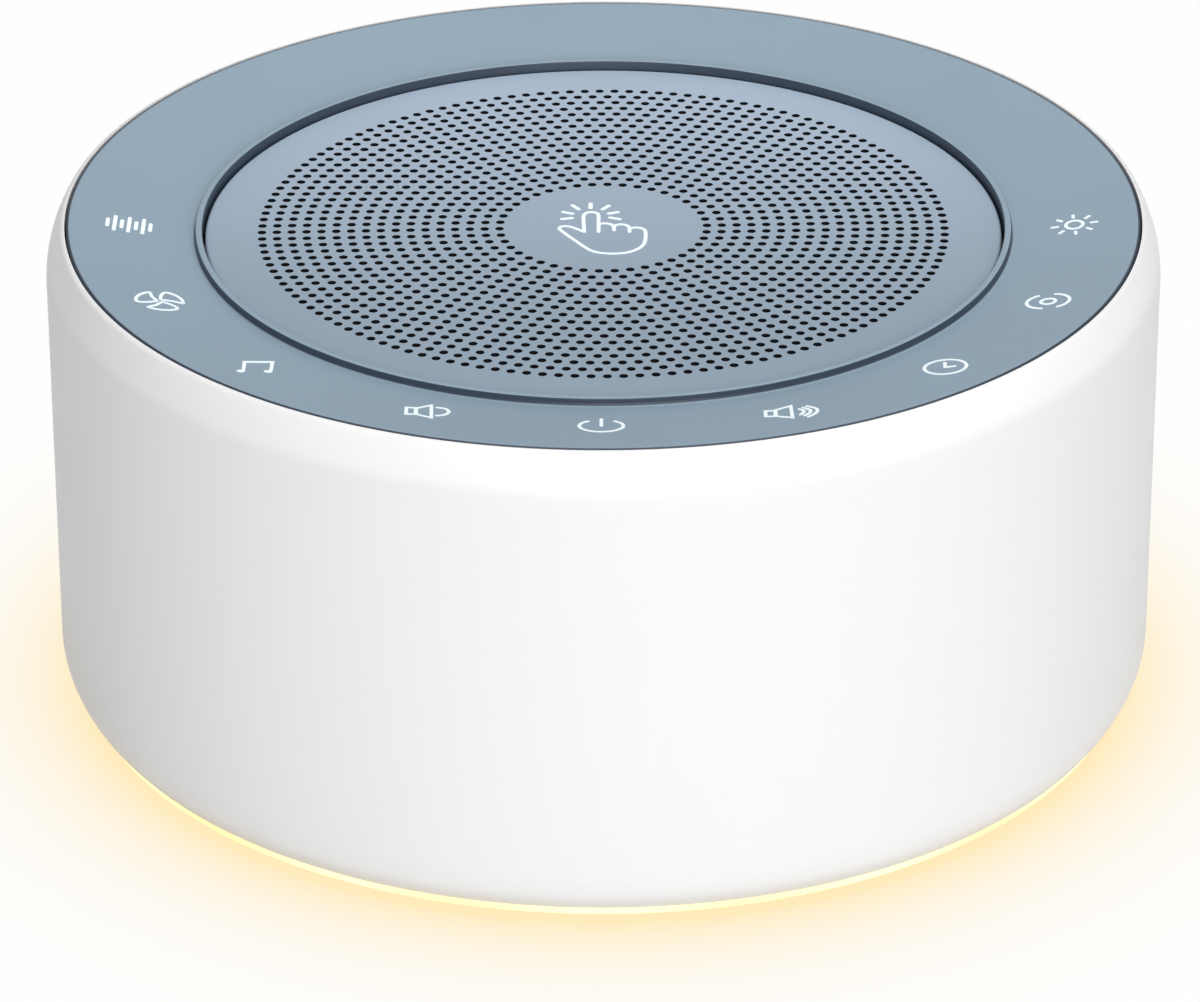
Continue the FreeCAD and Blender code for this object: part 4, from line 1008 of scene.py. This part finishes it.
def makeSurround():
    low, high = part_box("cone_surround")
    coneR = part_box("speaker_cone")[1].x
    thick, base, steps = surround["thick"], low.z, surround["rollSteps"]
    inner, mouth = coneR - surround["coneRim"], high.x - surround["land"]
    middle, radius = (coneR + mouth) / 2, (mouth - coneR) / 2
    under = [(inner, base), (coneR + thick, base)]
    over = [(inner, base + thick), (coneR, base + thick)]
    for step in range(1, steps):
        angle = math.pi * (1 - step / steps)
        across, up = math.cos(angle), math.sin(angle)
        under.append((middle + (radius - thick) * across, base + (radius - thick) * up))
        over.append((middle + radius * across, max(base + thick, base + radius * up)))
    under += [(mouth - thick, base), (high.x, base)]
    over += [(mouth, base + thick), (high.x, base + thick)]
    rubber = moulded("surround_rubber", tone(28, 28, 29), 0.7, 0.25 * mm, 0.015 * mm)
    softRing("surround", (under, over), surround["parts"], coneR, mouth, rubber, "surround",
             "cone_surround")


def makeCentringDisc():
    low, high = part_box("cone_spider")
    thick, steps = centring["thick"], centring["waveSteps"]
    shelf = (low.z + high.z - thick) / 2
    inner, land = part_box("coil_former")[1].x, high.x - centring["land"]
    under = []
    for step in range(steps + 1):
        share = step / steps
        wave = math.sin(2 * math.pi * centring["waves"] * share)
        under.append((inner + (land - inner) * share, shelf + centring["wave"] * wave))
    under.append((high.x, shelf))
    over = [(across, up + thick) for across, up in under]
    cloth = wovenCloth("spider_cloth", tone(188, 146, 66), 0.4 * mm)
    softRing("centring_disc", (under, over), centring["parts"], inner + thick, land, cloth,
             "spider", "cone_spider")


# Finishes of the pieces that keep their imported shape
def dressInside():
    steel = brushed("screw_zinc", (0.6, 0.6, 0.61, 1), 0.32)
    plate = brushed("motor_zinc", (0.55, 0.56, 0.57, 1), 0.35)
    board = circuitBoard("board_green", tone(22, 78, 48), tone(46, 112, 66))
    whiteBoard = circuitBoard("board_white", tone(226, 228, 226), tone(206, 210, 208))
    foam = pressedPaper("foam_black", tone(34, 34, 35), 0.95)
    socket = moulded("socket_nylon", tone(232, 228, 214), 0.5)
    lead = moulded("lead_red", tone(168, 38, 34), 0.45)
    chip = moulded("chip_black", tone(30, 30, 33), 0.55, 0.15 * mm)
    finishes = {
        "dust_screen": wovenCloth("screen_cloth", tone(8, 11, 20)),
        "panel_tape": foam, "rim_tape": foam, "speaker_gasket": foam,
        "touch_board": board, "main_board": board,
        "lamp_board": whiteBoard,
        "grille_contact": brushed("spring_gold", (0.8, 0.6, 0.28, 1), 0.28),
        "touch_ribbon": moulded("ribbon_white", tone(225, 225, 220), 0.4),
        "panel_screws": steel, "speaker_screws": steel,
        "board_screws": steel, "base_screws": steel,
        "speaker_basket": moulded("basket_black", tone(36, 36, 38), 0.5),
        "speaker_cone": pressedPaper("cone_pulp", tone(44, 43, 42)),
        "dust_cap": pressedPaper("cap_pulp", tone(38, 38, 38)),
        "coil_former": pressedPaper("former_kraft", tone(168, 126, 78)),
        "coil_winding": woundWire("coil_copper", (0.72, 0.3, 0.14, 1)),
        "top_plate": plate, "back_plate": plate,
        "speaker_magnet": pressedPaper("ferrite_dark", tone(62, 62, 65), 0.7),
        "terminal_strip": moulded("terminal_brown", tone(120, 84, 46), 0.6),
        "speaker_leads": lead, "lamp_leads": lead,
        "board_chips": chip, "power_coil": chip,
        "capacitors": brushed("can_aluminium", (0.78, 0.78, 0.8, 1), 0.3),
        "ribbon_socket": socket, "speaker_plug": socket, "lamp_plug": socket,
        "light_emitters": glowFinish(),
        "base_cover": moulded("base_white", tone(238, 238, 237), 0.55, 0.5 * mm, 0.03 * mm),
    }
    for name, finish in finishes.items():
        data = nodes[name].data
        data.materials.clear()
        data.materials.append(finish)


# Studio: white sweep that keeps a soft shadow, and a painted pool of the ring's warm light on it
studio = {
    "floorSize": 3.0,
    "floorOwn": 0.98,                                # share of the floor that shows its own white
    "bounce": (0.8, 0.8, 0.8, 1.0),                  # what the floor throws back as light
    # painted pool of warm light on the floor round the drum
    "glowEdge": 36.0, "glowReach": 5.6,              # in hole pitches
    "glowTone": (1.0, 0.83, 0.50, 1.0),
    "white": (1.0, 1.0, 1.0, 1.0),
    "world": 0.19,
}

lamps = [   # name, place, size, watts
    ("top_box", (0.08, 0.05, 0.75), (0.7, 0.7), 3.4),
    ("front_box", (0.12, -0.85, 0.30), (0.6, 0.5), 4.75),
    ("back_box", (0.0, 0.60, 0.38), (0.9, 0.35), 0.3),
    ("right_box", (0.75, -0.25, 0.25), (0.4, 0.5), 0.3),
]


def floorFinish():
    # its own white with a painted pool of warm light on it, and a little of the shadow
    finish = Finish("floor_white")
    reach = studio["glowReach"] * pitch
    fade = finish.maths("EXPONENT", (studio["glowEdge"] * pitch - finish.radius()) / reach)
    share = finish.maths("MINIMUM", fade, 1.0)
    body = finish.blend(share, studio["white"], studio["glowTone"])
    matt = finish.node("ShaderNodeBsdfDiffuse", None, {"Color": studio["bounce"]})
    plain = finish.node("ShaderNodeEmission", None, {"Color": body, "Strength": 1.0})
    shown = finish.node("ShaderNodeLightPath", output="Is Camera Ray")
    for kind in ("Is Glossy Ray", "Is Transmission Ray"):
        shown = finish.maths("MAXIMUM", shown, finish.node("ShaderNodeLightPath", output=kind))
    return finish.surface(finish.node("ShaderNodeMixShader", None,
                                      {0: shown * studio["floorOwn"], 1: matt, 2: plain}))


def makeFloor():
    mesh = bmesh.new()
    bmesh.ops.create_grid(mesh, x_segments=4, y_segments=4, size=studio["floorSize"] / 2)
    floor = toObject("floor", toMesh("floor", mesh))
    floor.data.materials.append(floorFinish())


def makeWorld():
    # white as the camera sees it, dimmer as it lights the machine
    sky = Finish("studio", bpy.data.worlds, "ShaderNodeOutputWorld")
    glow = {"Color": studio["white"], "Strength": studio["world"]}
    lighting = sky.node("ShaderNodeBackground", None, glow)
    seen = sky.node("ShaderNodeBackground", None, {"Color": studio["white"]})
    view = sky.node("ShaderNodeLightPath", output="Is Camera Ray")
    mixed = sky.node("ShaderNodeMixShader", None, {0: view, 1: lighting, 2: seen})
    bpy.context.scene.world = sky.surface(mixed)


def makeLamps():
    aim = Vector((0, 0, rimZ / 2))
    for name, place, size, watts in lamps:
        light = bpy.data.lights.new(name, "AREA")
        light.shape = "RECTANGLE"
        light.size, light.size_y = size
        light.energy = watts
        lamp = toObject(name, light)
        lamp.location = place
        lamp.rotation_euler = (aim - Vector(place)).to_track_quat("-Z", "Y").to_euler()


makeCamera()
makeFloor()
makeWorld()
makeLamps()
print("scene: camera and studio")
makeDrum()
makeInlet()
makePanel()
makeGrille()
print("scene: drum, inlet, touch ring and grille")
ink = printFinish()
makeSymbols(ink)
makeTapSymbol(ink)
print("scene: symbols")
makeLightRing()
makeFeet()
dressInside()
makeSurround()
makeCentringDisc()
print("scene: light ring, feet and inner pieces")

bpy.context.scene.view_settings.view_transform = "Standard"
